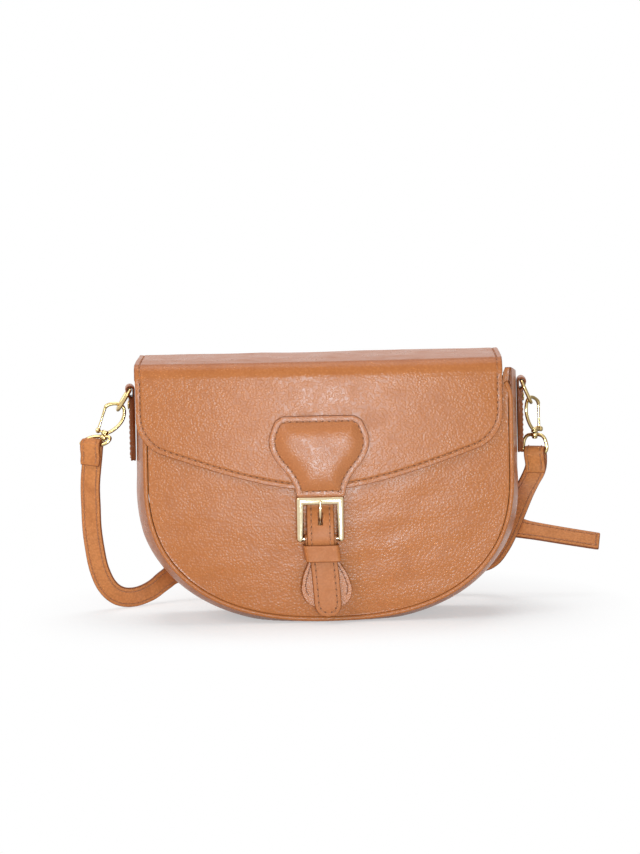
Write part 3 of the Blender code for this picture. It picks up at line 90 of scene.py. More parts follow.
def smooth_line(points: Sequence | Array, step: float) -> Array:
    """Rows read at about even steps from a Catmull-Rom curve through the given rows.

    Args:
        points: Rows whose first three numbers are the place; the others ride along.
        step: Distance between the rows that come back.

    Returns:
        The rows of the curve.
    """
    rows = np.asarray(points, float)
    ends = np.concatenate([[2 * rows[0] - rows[1]], rows, [2 * rows[-1] - rows[-2]]])
    found = []
    for before, here, there, after in zip(ends, ends[1:], ends[2:], ends[3:]):
        count = max(1, int(round(np.linalg.norm((there - here)[:3]) / step)))
        s = (np.arange(count) / count)[:, None]
        bend = (2 * before - 5 * here + 4 * there - after) * s**2
        cube = (3 * here - before - 3 * there + after) * s**3
        found.append((2 * here + (there - before) * s + bend + cube) / 2)
    found.append(rows[-1:])
    return np.concatenate(found)


def even_line(line: Array, step: float, closed: bool = False) -> Array:
    """Rows of a line read again at even distances along it.

    Args:
        line: Rows whose first three numbers are the place.
        step: The distance wanted between rows; it is adjusted to fit the length.
        closed: True where the last row joins the first.

    Returns:
        The rows, without the repeated first one where the line is closed.
    """
    rows = np.concatenate([line, line[:1]]) if closed else line
    reach = distance_along(rows)
    count = max(2, int(round(reach[-1] / step)) + 1)
    wanted = np.linspace(0.0, reach[-1], count)
    wanted = wanted[:-1] if closed else wanted
    return np.stack([np.interp(wanted, reach, rows[:, k]) for k in range(rows.shape[1])], axis=1)


def distance_along(line: Array) -> Array:
    """Distance from a line's first row to each of its rows."""
    return np.concatenate([[0.0], np.cumsum(np.linalg.norm(np.diff(line[:, :3], axis=0), axis=1))])


def curve(rows: Sequence | Array, fine: float, step: float) -> Array:
    """Rows at an even step along the smooth curve through the given rows, read first at a fine step."""
    return even_line(smooth_line(rows, fine), step)


def sine_steps(count: int) -> Array:
    """Shares from -1 to 1 that lie closer together towards both ends."""
    return np.sin(np.linspace(-math.pi / 2, math.pi / 2, count))


def full_turn(count: int) -> Array:
    """Even angles round a circle."""
    return np.arange(count) * 2 * math.pi / count


def every(vector: Sequence[float], count: int) -> Array:
    """One vector repeated as rows."""
    return np.tile(vector, (count, 1))


def points_of(*parts: Array | float) -> Array:
    """Points from their coordinates, each an array or one value for all."""
    return np.stack(np.broadcast_arrays(*parts), axis=-1)


def held(values: Array | float) -> Array | float:
    """Values held between zero and one."""
    return np.clip(values, 0, 1)


def places_of(piece: Piece) -> Array:
    """A piece's vertex places, shape (n, 3)."""
    block = np.empty(len(piece.data.vertices) * 3)
    piece.data.vertices.foreach_get("co", block)
    return block.reshape(-1, 3)


def moved(piece: Piece, points: Array) -> Piece:
    """A piece whose vertices have been given new places."""
    piece.data.vertices.foreach_set("co", points.ravel())
    piece.data.update()
    return piece


def make_object(
    name: str,
    points: Array,
    faces: list | Array,
    material: Finish,
    edge: Array | None = None,
    seam: Array | None = None,
) -> Piece:
    """A smooth closed piece in the world, faces outward, with the attributes that the leather reads.

    Args:
        name: The piece's name.
        points: Vertex places, shape (n, 3).
        faces: Polygons as index rows.
        material: Its finish.
        edge: For each vertex, 1 on a cut edge and 0 on the face.
        seam: For each vertex, how much painted shade it takes for lying in a seam or fold.

    Returns:
        The linked object.
    """
    mesh = bpy.data.meshes.new(name)
    mesh.from_pydata(np.asarray(points).reshape(-1, 3).tolist(), [], [list(map(int, f)) for f in faces])
    mesh.validate()
    mesh.calc_loop_triangles()
    corners = np.empty(len(mesh.loop_triangles) * 3, np.int32)
    mesh.loop_triangles.foreach_get("vertices", corners)
    a, b, c = np.asarray(points).reshape(-1, 3)[corners.reshape(-1, 3).T]
    if len(faces) > 1 and (a * np.cross(b, c)).sum() < 0:
        mesh.flip_normals()
    for label, values in (("edge", edge), ("seam", seam)):
        if values is not None:
            layer = mesh.attributes.new(label, "FLOAT", "POINT")
            layer.data.foreach_set("value", np.asarray(values, np.float32).ravel())
    mesh.shade_smooth()
    mesh.materials.append(material)
    piece = bpy.data.objects.new(name, mesh)
    bpy.context.scene.collection.objects.link(piece)
    return piece


def grid_faces(
    rows: int, columns: int, first: int = 0, wrap_rows: bool = False, wrap: bool = False
) -> Array:
    """Quads of a grid of points.

    Args:
        rows: Number of rows.
        columns: Number of points in a row.
        first: Index of the grid's first point.
        wrap_rows: True where the last row joins the first.
        wrap: True where each row closes on itself.

    Returns:
        Index rows of the quads.
    """
    r = np.arange(rows if wrap_rows else rows - 1)
    c = np.arange(columns if wrap else columns - 1)
    r, c = (a.ravel() for a in np.meshgrid(r, c, indexing="ij"))
    low, high = r * columns, ((r + 1) % rows) * columns
    right = (c + 1) % columns
    return np.stack([low + c, low + right, high + right, high + c], axis=1) + first


def plate(
    name: str,
    front: Array,
    back: Array,
    material: Finish,
    seam: Array | None = None,
    roundness: float = 0.7,
) -> Piece:
    """A leather plate: two grids of points joined by a half-round cut edge.

    The edge's cross-section is mid + half * cos(a) + out * |half| * roundness * sin(a) for a
    from 0 to pi, where half runs from the middle to the front skin and out leads off the grid.

    Args:
        name: The piece's name.
        front: Outer skin, shape (rows, columns, 3).
        back: Inner skin of the same shape.
        material: Its finish.
        seam: Painted seam shade for the front skin's points, shape (rows, columns).
        roundness: How far the edge stands out, as a share of half the thickness.

    Returns:
        The linked object.
    """
    rows, columns, _ = front.shape
    count = rows * columns
    index = np.arange(count).reshape(rows, columns)
    rim = np.concatenate([index[0], index[1:, -1], index[-1, -2::-1], index[-2:0:-1, 0]])
    inner = np.concatenate([index[1], index[1:, -2], index[-2, -2::-1], index[-2:0:-1, 1]])
    skin, under = front.reshape(-1, 3), back.reshape(-1, 3)
    middle, half = (skin[rim] + under[rim]) / 2, (skin[rim] - under[rim]) / 2
    out = skin[rim] - skin[inner]
    square = np.sum(half * half, axis=1, keepdims=True)
    out = out - half * np.sum(out * half, axis=1, keepdims=True) / square
    out = unit(out) * np.linalg.norm(half, axis=1, keepdims=True) * roundness
    angles = np.linspace(0, math.pi, 7)[1:-1]
    bands = [middle + half * math.cos(a) + out * math.sin(a) for a in angles]
    points = np.concatenate([skin, under] + bands)
    faces = [grid_faces(rows, columns), grid_faces(rows, columns, count)[:, ::-1]]
    bent = [2 * count + k * len(rim) + np.arange(len(rim)) for k in range(len(angles))]
    chain = [rim, *bent, rim + count]
    for upper, lower in zip(chain, chain[1:]):
        faces.append(np.stack([np.roll(upper, -1), upper, lower, np.roll(lower, -1)], axis=1))
    edge = np.concatenate([np.zeros(2 * count), np.ones(len(angles) * len(rim))])
    # Painted seam shade, carried to the leather in the seam attribute.
    seam_shade = np.zeros(len(points))
    if seam is not None:
        seam_shade[:count] = seam.ravel()
    return make_object(name, points, np.concatenate(faces), material, edge, seam_shade)


def carried_frames(line: Array, start: Sequence[float], closed: bool = False) -> tuple[Array, Array]:
    """Two unit directions across a line at each point, carried along it without twist.

    Args:
        line: Points, shape (n, 3).
        start: The first cross direction.
        closed: True where the last point joins the first.

    Returns:
        The side and up directions.
    """
    tangents = tangents_of(line, closed)
    side = np.asarray(start, float)
    sides = np.empty_like(line)
    for k, tangent in enumerate(tangents):
        side = side - tangent * side.dot(tangent)
        side = side / np.linalg.norm(side)
        sides[k] = side
    return sides, np.cross(tangents, sides)


def tube(
    name: str,
    line: Array,
    radius: float | Array,
    material: Finish,
    start: Sequence[float] = (0.0, 1.0, 0.0),
    closed: bool = False,
    sides: int = 20,
) -> Piece:
    """A round wire along a line; open ends are closed by a small dome.

    Args:
        name: The piece's name.
        line: Points, shape (n, 3).
        radius: One value, or one for each point.
        material: Its finish.
        start: A direction across the line's beginning.
        closed: True for a ring.
        sides: Points round the wire.

    Returns:
        The linked object.
    """
    radii = np.broadcast_to(np.asarray(radius, float), (len(line),)).copy()
    line = np.asarray(line, float)
    if not closed:
        tangents = tangents_of(line)
        lead = [(0.55, 0.80), (0.90, 0.42)]
        head = [line[0] - tangents[0] * radii[0] * a * 0.5 for a, _ in lead]
        tail = [line[-1] + tangents[-1] * radii[-1] * a * 0.5 for a, _ in lead]
        line = np.concatenate([head[::-1], line, tail])
        radii = np.concatenate(
            [[radii[0] * b for _, b in lead][::-1], radii, [radii[-1] * b for _, b in lead]]
        )
    side, up = carried_frames(line, start, closed)
    angles = full_turn(sides)
    ring = np.cos(angles)[None, :, None] * side[:, None] + np.sin(angles)[None, :, None] * up[:, None]
    points = (line[:, None] + ring * radii[:, None, None]).reshape(-1, 3)
    faces = grid_faces(len(line), sides, wrap_rows=closed, wrap=True)[:, ::-1].tolist()
    if not closed:
        faces.append(list(range(sides)))
        faces.append(list(range(len(points) - 1, len(points) - sides - 1, -1)))
    return make_object(name, points, faces, material)


def spokes(axis: Array, sides: int) -> Array:
    """Unit directions square to an axis, at even angles round it."""
    side = unit(np.cross(axis, np.eye(3)[int(np.argmin(np.abs(axis)))]))
    angles = full_turn(sides)
    return np.outer(np.cos(angles), side) + np.outer(np.sin(angles), np.cross(axis, side))


def turned(
    name: str,
    foot: Array,
    axis: Array,
    profile: Sequence[tuple[float, float]],
    material: Finish,
    sides: int = TURNED_SIDES,
) -> Piece:
    """A lathed piece: the profile's (radius, height) points carried round an axis.

    Args:
        name: The piece's name.
        foot: Where height is zero.
        axis: Unit direction of height.
        profile: Points from the lower middle to the upper middle.
        material: Its finish.
        sides: Points round the axis.

    Returns:
        The linked object.
    """
    axis = unit(np.asarray(axis, float))
    ring = spokes(axis, sides)
    levels = [np.asarray(foot) + axis * height + ring * max(radius, 1e-6) for radius, height in profile]
    points = np.concatenate(levels)
    faces = grid_faces(len(profile), sides, wrap=True).tolist()
    faces.append(list(range(sides - 1, -1, -1)))
    faces.append(list(range(len(points) - sides, len(points))))
    return make_object(name, points, faces, material)


def join(name: str, pieces: Sequence[Piece]) -> Piece:
    """Several pieces made into one object that keeps their finishes.

    Args:
        name: The new object's name.
        pieces: The pieces, which are removed.

    Returns:
        The new object.
    """
    points, faces, edges, seam_shades, finishes, slots = [], [], [], [], [], []
    first = 0
    for piece in pieces:
        if piece.data.materials[0] not in finishes:
            finishes.append(piece.data.materials[0])
        slots += [finishes.index(piece.data.materials[0])] * len(piece.data.polygons)
        mesh = piece.data
        points.append(places_of(piece))
        faces += [[v + first for v in polygon.vertices] for polygon in mesh.polygons]
        # Keeps the cut edges and the painted seam shade of every piece.
        for label, store in (("edge", edges), ("seam", seam_shades)):
            values = np.zeros(len(mesh.vertices))
            if label in mesh.attributes:
                mesh.attributes[label].data.foreach_get("value", values)
            store.append(values)
        first += len(mesh.vertices)
    made = make_object(
        name, np.concatenate(points), faces, finishes[0], np.concatenate(edges), np.concatenate(seam_shades)
    )
    for finish in finishes[1:]:
        made.data.materials.append(finish)
    made.data.polygons.foreach_set("material_index", np.array(slots, np.int32))
    for piece in pieces:
        bpy.data.objects.remove(piece, do_unlink=True)
    return made


def beads(name: str, rings: Array, material: Finish) -> Piece:
    """Many small closed forms in one object, each a stack of rings with a cap at both ends.

    Args:
        name: The object's name.
        rings: Points, shape (forms, levels, sides, 3).
        material: Its finish.

    Returns:
        The linked object.
    """
    count, levels, sides, _ = rings.shape
    block = levels * sides
    quads = grid_faces(levels, sides, wrap=True)
    faces = (quads[None] + (np.arange(count) * block)[:, None, None]).reshape(-1, 4).tolist()
    for k in range(count):
        faces.append([k * block + v for v in range(sides - 1, -1, -1)])
        faces.append([k * block + block - sides + v for v in range(sides)])
    return make_object(name, rings, faces, material)


def stitches(
    name: str,
    line: Array,
    out: Array,
    material: Finish,
    pitch: float = 0.0029,
    share: float = 0.74,
    radius: float = 0.00032,
    slant: float = 0.12,
    closed: bool = False,
) -> Piece:
    """A row of thread stitches: short rounded capsules that dip into the leather at both ends.

    A capsule's middle line is s * half * along, lifted by lift * (1 - s^2) along the normal.

    Args:
        name: The piece's name.
        line: Points of the seam on the leather's surface.
        out: The surface normal at each point.
        material: The thread.
        pitch: Distance from one stitch to the next.
        share: A stitch's length as a share of the pitch.
        radius: The thread's radius.
        slant: How far each stitch turns across the seam, as a share of its length.
        closed: True where the seam is a loop.

    Returns:
        The linked object.
    """
    rows = even_line(np.concatenate([line, out], axis=1), pitch, closed)
    centre, normal = rows[:, :3], unit(rows[:, 3:])
    along = tangents_of(centre, closed)
    if not closed:
        centre, normal, along = centre[1:-1], normal[1:-1], along[1:-1]
    across = unit(np.cross(normal, along))
    along = unit(along + across * slant)
    across = unit(np.cross(normal, along))
    s = np.array([-1.0, -0.8, -0.35, 0.35, 0.8, 1.0])
    size = np.array([0.35, 0.85, 1.0, 1.0, 0.85, 0.35]) * radius
    lift = (1 - s**2) * radius * 1.1 - radius * 0.55
    angles = full_turn(6)
    side, up = across[:, None, None, :], normal[:, None, None, :]
    ring = np.cos(angles)[:, None] * side + np.sin(angles)[:, None] * up
    spine = centre[:, None] + along[:, None] * (s * pitch * share / 2)[None, :, None]
    spine = spine + normal[:, None] * lift[None, :, None]
    points = spine[:, :, None] + ring * size[None, :, None, None]
    return beads(name, points, material)


def needle_holes(
    name: str,
    line: Array,
    out: Array,
    material: Finish,
    pitch: float,
    length: float = 0.0014,
    width: float = 0.0010,
    closed: bool = False,
) -> Piece:
    """Painted shade of the needle holes between the stitches of a seam: dark, flat eight-sided domes 0.12 mm
    high.

    Args:
        name: The piece's name.
        line: Points of the seam on the leather's surface.
        out: The surface normal at each point.
        material: The hole's finish.
        pitch: Distance from one hole to the next.
        length: A hole's size along the seam.
        width: Its size across.
        closed: True where the seam is a loop.

    Returns:
        The linked object.
    """
    rows = even_line(np.concatenate([line, out], axis=1), pitch, closed)
    along = tangents_of(rows[:, :3], closed)
    if not closed:
        half = (rows[:-1] + rows[1:]) / 2
        rows, along = half, unit(along[:-1] + along[1:])
    else:
        rows = (rows + np.roll(rows, -1, axis=0)) / 2
        along = unit(along + np.roll(along, -1, axis=0))
    normal = unit(rows[:, 3:])
    across = unit(np.cross(normal, along))
    a = full_turn(8)
    ring = along[:, None] * (np.cos(a) * length / 2)[None, :, None]
    ring = ring + across[:, None] * (np.sin(a) * width / 2)[None, :, None]
    foot = rows[:, None, :3] + ring - normal[:, None] * 0.0003
    rim = rows[:, None, :3] + ring + normal[:, None] * 0.00008
    top = rows[:, None, :3] + ring * 0.5 + normal[:, None] * 0.00012
    return beads(name, np.stack([foot, rim, top], axis=1), material)


def sewn(
    name: str,
    line: Array,
    out: Array,
    thread: Finish,
    hole: Finish,
    pitch: float = 0.0040,
    radius: float = 0.00042,
    closed: bool = False,
) -> Piece:
    """A seam as it shows on the leather: rounded stitches with a needle hole between each two.

    Args:
        name: The piece's name.
        line: Points of the seam on the leather's surface.
        out: The surface normal at each point.
        thread: The thread's finish.
        hole: The holes' dark finish, painted shade of the needle holes.
        pitch: Distance from one stitch to the next.
        radius: The thread's radius.
        closed: True where the seam is a loop.

    Returns:
        Stitches and holes as one object with two finishes.
    """
    threads = stitches(name, line, out, thread, pitch, 0.66, radius, 0.10, closed)
    holes = needle_holes("holes", line, out, hole, pitch, closed=closed)
    return join(name, [threads, holes])


class Grain(Enum):
    """How a leather's surface was finished."""

    PEBBLED = "pebbled"
    SMOOTH = "smooth"


class Nodes:
    """A short way to add and join the nodes of one material."""

    def __init__(self, name: str, world: bool = False) -> None:
        """Start a material, or a world, that holds only its output.

        Args:
            name: Its name.
            world: True for a world.
        """
        self.material = (bpy.data.worlds if world else bpy.data.materials).new(name)
        self.material.use_nodes = True
        self.tree = self.material.node_tree
        self.tree.nodes.clear()
        self.output = self.tree.nodes.new("ShaderNodeOutput" + ("World" if world else "Material"))

    def add(self, kind: str, **values: object) -> bpy.types.Node:
        """One node; values set its properties, or its inputs where the name is one.

        Args:
            kind: The node's type without its first part.
            **values: Properties, or inputs with spaces written as underscores.

        Returns:
            The node.
        """
        node = self.tree.nodes.new("ShaderNode" + kind)
        for key, value in values.items():
            label = key.replace("_", " ")
            if label in node.inputs:
                node.inputs[label].default_value = value
            else:
                setattr(node, key, value)
        return node

    def link(self, start: Socket, end: Socket) -> None:
        """Join two sockets."""
        self.tree.links.new(start, end)

    def mix(self, factor: Socket, first: object, second: object) -> Socket:
        """Two colours mixed by a factor.

        Args:
            factor: The socket that gives the share of the second.
            first: A colour or a socket.
            second: A colour or a socket.

        Returns:
            The mixed colour's socket.
        """
        node = self.add("Mix", data_type="RGBA")
        self.link(factor, node.inputs[0])
        for value, socket in ((first, node.inputs[6]), (second, node.inputs[7])):
            if isinstance(value, Socket):
                self.link(value, socket)
            else:
                socket.default_value = value
        return node.outputs[2]

    def ramp(self, value: Socket, low: float, high: float, a: float = 0.0, b: float = 1.0) -> Socket:
        """A value between low and high mapped to a and b, and held at both ends.

        Args:
            value: The socket read.
            low: The value that gives a.
            high: The value that gives b.
            a: The result at low.
            b: The result at high.

        Returns:
            The mapped value's socket.
        """
        node = self.add("MapRange", clamp=True)
        self.link(value, node.inputs["Value"])
        for label, number in (("From Min", low), ("From Max", high), ("To Min", a), ("To Max", b)):
            node.inputs[label].default_value = number
        return node.outputs["Result"]

    def place(self, scale: tuple[float, float, float] = (1.0, 1.0, 1.0)) -> Socket:
        """The object's own coordinates, in metres times a scale."""
        coordinates = self.add("TexCoord")
        mapping = self.add("Mapping")
        self.link(coordinates.outputs["Object"], mapping.inputs["Vector"])
        mapping.inputs["Scale"].default_value = scale
        return mapping.outputs["Vector"]

    def noise(self, vector: Socket, scale: float, detail: float = 3.0, rough: float = 0.5) -> Socket:
        """Fractal noise read at a vector."""
        node = self.add("TexNoise", Scale=scale, Detail=detail, Roughness=rough)
        self.link(vector, node.inputs["Vector"])
        return node.outputs["Fac"]

    def bump(
        self, height: Socket, depth: float, strength: float = 1.0, normal: Socket | None = None
    ) -> Socket:
        """A bumped normal on top of an earlier one; a negative depth turns the height inwards.

        Args:
            height: The height to follow.
            depth: How far it reaches.
            strength: Its share of the shading.
            normal: The earlier normal.

        Returns:
            The new normal.
        """
        node = self.add("Bump", Strength=strength, Distance=abs(depth), invert=depth < 0)
        self.link(height, node.inputs["Height"])
        if normal is not None:
            self.link(normal, node.inputs["Normal"])
        return node.outputs["Normal"]

    def seen(self) -> Socket:
        """One for camera, glossy and transmission rays, and zero for all others.

        Returns:
            The value.
        """
        path = self.add("LightPath")
        seen = path.outputs["Is Camera Ray"]
        for kind in ("Is Glossy Ray", "Is Transmission Ray"):
            either = self.add("Math", operation="MAXIMUM")
            self.link(seen, either.inputs[0])
            self.link(path.outputs[kind], either.inputs[1])
            seen = either.outputs[0]
        return seen

    def blend(self, factor: Socket, first: bpy.types.Node, second: bpy.types.Node) -> bpy.types.Node:
        """The first shader where the factor is zero and the second where it is one.

        Args:
            factor: The share of the second.
            first: One shader.
            second: The other.

        Returns:
            The mixing node.
        """
        node = self.add("MixShader")
        for start, socket in zip((factor, first.outputs[0], second.outputs[0]), node.inputs):
            self.link(start, socket)
        return node

    def finish(self, shader: bpy.types.Node, normal: Socket | None = None) -> Finish:
        """Send a shader to the output, with a bumped normal where there is one.

        Args:
            shader: The shader.
            normal: Its normal.

        Returns:
            The material.
        """
        if normal is not None:
            self.link(normal, shader.inputs["Normal"])
        self.link(shader.outputs[0], self.output.inputs["Surface"])
        return self.material


@dataclass(frozen=True)
class Leather:
    """Tanned leather: colour drift, grain pebbles, fine creases, darker cut edges, and painted shade along
    seams, folds and stitch lines.
    """

    name: str
    base: Colour = (0.415, 0.128, 0.036, 1.0)
    pale: Colour = (0.452, 0.145, 0.045, 1.0)
    # Darker tone for blotches and grain valleys, also used as the painted shade in seams and folds.
    deep_tone_and_shade: Colour = (0.325, 0.088, 0.020, 1.0)
    cut_edge: Colour = (0.220, 0.056, 0.012, 1.0)
    grain: Grain = Grain.PEBBLED
    pebble: float = 0.00155
    pebble_depth: float = 0.00008
    crease_depth: float = 0.00022
    roughness: float = 0.30
    reflection: float = 0.20

    def build(self) -> Finish:
        """Make the material.

        Returns:
            The material, whose bump joins pebbles, pores and long creases.
        """
        n = Nodes(self.name)
        place = n.place()
        drift = n.noise(place, 14.0, 4.0, 0.55)
        blotch = n.noise(place, 75.0, 3.0, 0.6)
        colour = n.mix(n.ramp(drift, 0.35, 0.68), self.base, self.pale)
        colour = n.mix(n.ramp(blotch, 0.52, 0.80, 0.0, 0.45), colour, self.deep_tone_and_shade)

        warp = n.add("TexNoise", Scale=420.0, Detail=2.0)
        n.link(place, warp.inputs["Vector"])
        bent = n.add("VectorMath", operation="MULTIPLY_ADD")
        n.link(warp.outputs["Color"], bent.inputs[0])
        bent.inputs[1].default_value = (self.pebble * 0.35,) * 3
        n.link(place, bent.inputs[2])
        cells = n.add(
            "TexVoronoi", feature="SMOOTH_F1", Scale=1.0 / self.pebble, Smoothness=0.35, Randomness=0.95
        )
        n.link(bent.outputs[0], cells.inputs["Vector"])
        pores = n.noise(place, 2600.0, 2.0)
        crease = n.noise(n.place((26.0, 26.0, 150.0)), 1.0, 4.0, 0.62)
        valley = n.ramp(cells.outputs["Distance"], 0.30, 0.62)
        colour = n.mix(n.ramp(cells.outputs["Distance"], 0.34, 0.66, 0.0, 0.30), colour, self.deep_tone_and_shade)

        # Painted shade: the seam attribute darkens seams, folds and pressed stitch lines towards the deep
        # tone; the edge attribute gives cut edges their own darker colour.
        edge = n.add("Attribute", attribute_name="edge")
        seam = n.add("Attribute", attribute_name="seam")
        colour = n.mix(n.ramp(seam.outputs["Fac"], 0.0, 1.0, 0.0, 0.85), colour, self.deep_tone_and_shade)
        colour = n.mix(n.ramp(edge.outputs["Fac"], 0.15, 0.70), colour, self.cut_edge)

        shader = n.add("BsdfPrincipled")
        shader.inputs["Specular IOR Level"].default_value = self.reflection
        n.link(colour, shader.inputs["Base Color"])
        rough = n.ramp(blotch, 0.3, 0.7, self.roughness - 0.05, self.roughness + 0.07)
        n.link(rough, shader.inputs["Roughness"])

        smooth = self.grain is Grain.SMOOTH
        layers = [
            (valley, -self.pebble_depth * (0.35 if smooth else 1.0)),
            (pores, 0.00001),
            (crease, self.crease_depth * (0.4 if smooth else 1.0)),
        ]
        normal = None
        for height, depth in layers:
            normal = n.bump(height, depth, normal=normal)
        return n.finish(shader, normal)


@dataclass(frozen=True)
class Thread:
    """Waxed thread: one colour, twisted strands."""

    name: str
    base: Colour
    roughness: float = 0.55

    def build(self) -> Finish:
        """Make the material."""
        n = Nodes(self.name)
        place = n.place()
        colour = n.mix(
            n.ramp(n.noise(place, 900.0, 2.0), 0.35, 0.7), self.base,
            tuple(c * 0.72 for c in self.base[:3]) + (1.0,)
        )
        shader = n.add("BsdfPrincipled", Roughness=self.roughness)
        n.link(colour, shader.inputs["Base Color"])
        return n.finish(shader, n.bump(n.noise(place, 4000.0, 1.0), 0.0001, 0.6))


@dataclass(frozen=True)
class Suede:
    """Napped lining: soft light and dark strokes."""

    name: str
    base: Colour = (0.300, 0.150, 0.080, 1.0)
    pale: Colour = (0.390, 0.215, 0.125, 1.0)

    def build(self) -> Finish:
        """Make the material."""
        n = Nodes(self.name)
        place = n.place()
        nap = n.noise(place, 90.0, 6.0, 0.7)
        colour = n.mix(n.ramp(nap, 0.35, 0.7), self.base, self.pale)
        shader = n.add("BsdfPrincipled", Roughness=0.92)
        shader.inputs["Sheen Weight"].default_value = 0.35
        n.link(colour, shader.inputs["Base Color"])
        return n.finish(shader, n.bump(n.noise(place, 1500.0, 4.0, 0.7), 0.0003, 0.7))


@dataclass(frozen=True)
class Plating:
    """Polished plated metal with faint handling marks, and painted shade on faces turned down and in a band
    of faces turned partly towards +X.
    """

    name: str
    base: Colour
    worn: Colour
    shadow: Colour = (0.10, 0.065, 0.020, 1.0)
    roughness: float = 0.14

    def build(self) -> Finish:
        """Make the material."""
        n = Nodes(self.name)
        place = n.place()
        marks = n.noise(n.place((900.0, 200.0, 900.0)), 1.0, 4.0, 0.7)
        cloud = n.noise(place, 260.0, 3.0)
        shader = n.add("BsdfPrincipled", Metallic=1.0)
        plate = n.mix(n.ramp(cloud, 0.35, 0.75), self.base, self.worn)
        # Painted shade: the shadow colour is mixed in where the normal points down, and in a band of faces
        # turned partly towards +X (the edge mask).
        faced = n.add("SeparateXYZ")
        n.link(n.add("NewGeometry").outputs["Normal"], faced.inputs[0])
        below = n.ramp(faced.outputs["Z"], -0.75, -0.15, 0.85, 0.0)
        edge = n.add("Math", operation="MULTIPLY")
        n.link(n.ramp(faced.outputs["X"], 0.35, 0.60, 0.0, 0.75), edge.inputs[0])
        n.link(n.ramp(faced.outputs["X"], 0.75, 0.95, 1.0, 0.0), edge.inputs[1])
        plate = n.mix(below, plate, self.shadow)
        plate = n.mix(edge.outputs[0], plate, self.shadow)
        n.link(plate, shader.inputs["Base Color"])
        rough = n.ramp(marks, 0.3, 0.75, self.roughness, self.roughness + 0.14)
        n.link(rough, shader.inputs["Roughness"])
        return n.finish(shader, n.bump(cloud, 0.00005, 0.25))


@dataclass
class Wardrobe:
    """Every finish of the bag, made once."""

    body: Finish = field(init=False)
    patch: Finish = field(init=False)
    strap: Finish = field(init=False)
    tongue: Finish = field(init=False)
    thread: Finish = field(init=False)
    dark_thread: Finish = field(init=False)
    suede: Finish = field(init=False)
    hole_shade: Finish = field(init=False)
    pale_gold: Finish = field(init=False)
    hook_gold: Finish = field(init=False)
    steel: Finish = field(init=False)

    def __post_init__(self) -> None:
        """Make the materials."""
        self.body = Leather("grained_leather").build()
        self.patch = Leather(
            "patch_leather_finish", roughness=0.34, reflection=0.42, pebble=0.00120,
            pebble_depth=0.00010, crease_depth=0.00006
        ).build()
        self.strap = Leather(
            "strap_leather_finish", (0.575, 0.196, 0.058, 1.0), (0.635, 0.226, 0.070, 1.0),
            grain=Grain.SMOOTH, roughness=0.42
        ).build()
        self.thread = Thread("tan_thread", (0.430, 0.150, 0.055, 1.0)).build()
        # Darker thread for the tab's base: its colour is partly the thread's own, partly painted shade of
        # the deep-set stitches.
        self.dark_thread = Thread("brown_thread_and_shade", (0.230, 0.070, 0.026, 1.0)).build()
        self.tongue = Leather("tongue_leather_finish", grain=Grain.SMOOTH, roughness=0.48).build()
        self.suede = Suede("suede_finish").build()
        # The needle holes' dark colour is painted shade of the holes.
        self.hole_shade = Thread("needle_hole_painted_shade", (0.185, 0.058, 0.020, 1.0), 0.8).build()
        self.pale_gold = Plating(
            "pale_gold_plate", (0.78, 0.64, 0.42, 1.0), (0.70, 0.55, 0.34, 1.0), (0.26, 0.16, 0.07, 1.0)
        ).build()
        self.hook_gold = Plating("gold_plate", (0.74, 0.56, 0.27, 1.0), (0.60, 0.43, 0.17, 1.0)).build()
        self.steel = Plating(
            "plain_steel", (0.62, 0.62, 0.62, 1.0), (0.5, 0.5, 0.5, 1.0), (0.2, 0.2, 0.2, 1.0), 0.3
        ).build()


def dress(piece: Piece, body: str, slot: str, *nodes: str) -> Piece:
    """Attach a finished piece to the body that it moves with, and hide the solids that it stands for.

    Args:
        piece: The finished piece.
        body: The body that it moves with.
        slot: Not used.
        *nodes: The solids that it replaces, if any.

    Returns:
        The piece.
    """
    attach(piece, body)
    if nodes:
        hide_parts(*nodes)
    LOG.info("%s rides on %s", piece.name, body)
    return piece


def stood(name: str, data: bpy.types.ID, axes: Sequence[Array]) -> Piece:
    """A camera or lamp put in the scene.

    Args:
        name: Its name.
        data: Its camera or light data.
        axes: Its right, up and back directions and its place.

    Returns:
        The object.
    """
    matrix = np.eye(4)
    matrix[:3] = np.stack(axes, axis=1)
    made = bpy.data.objects.new(name, data)
    made.matrix_world = Matrix(matrix.tolist())
    bpy.context.scene.collection.objects.link(made)
    return made


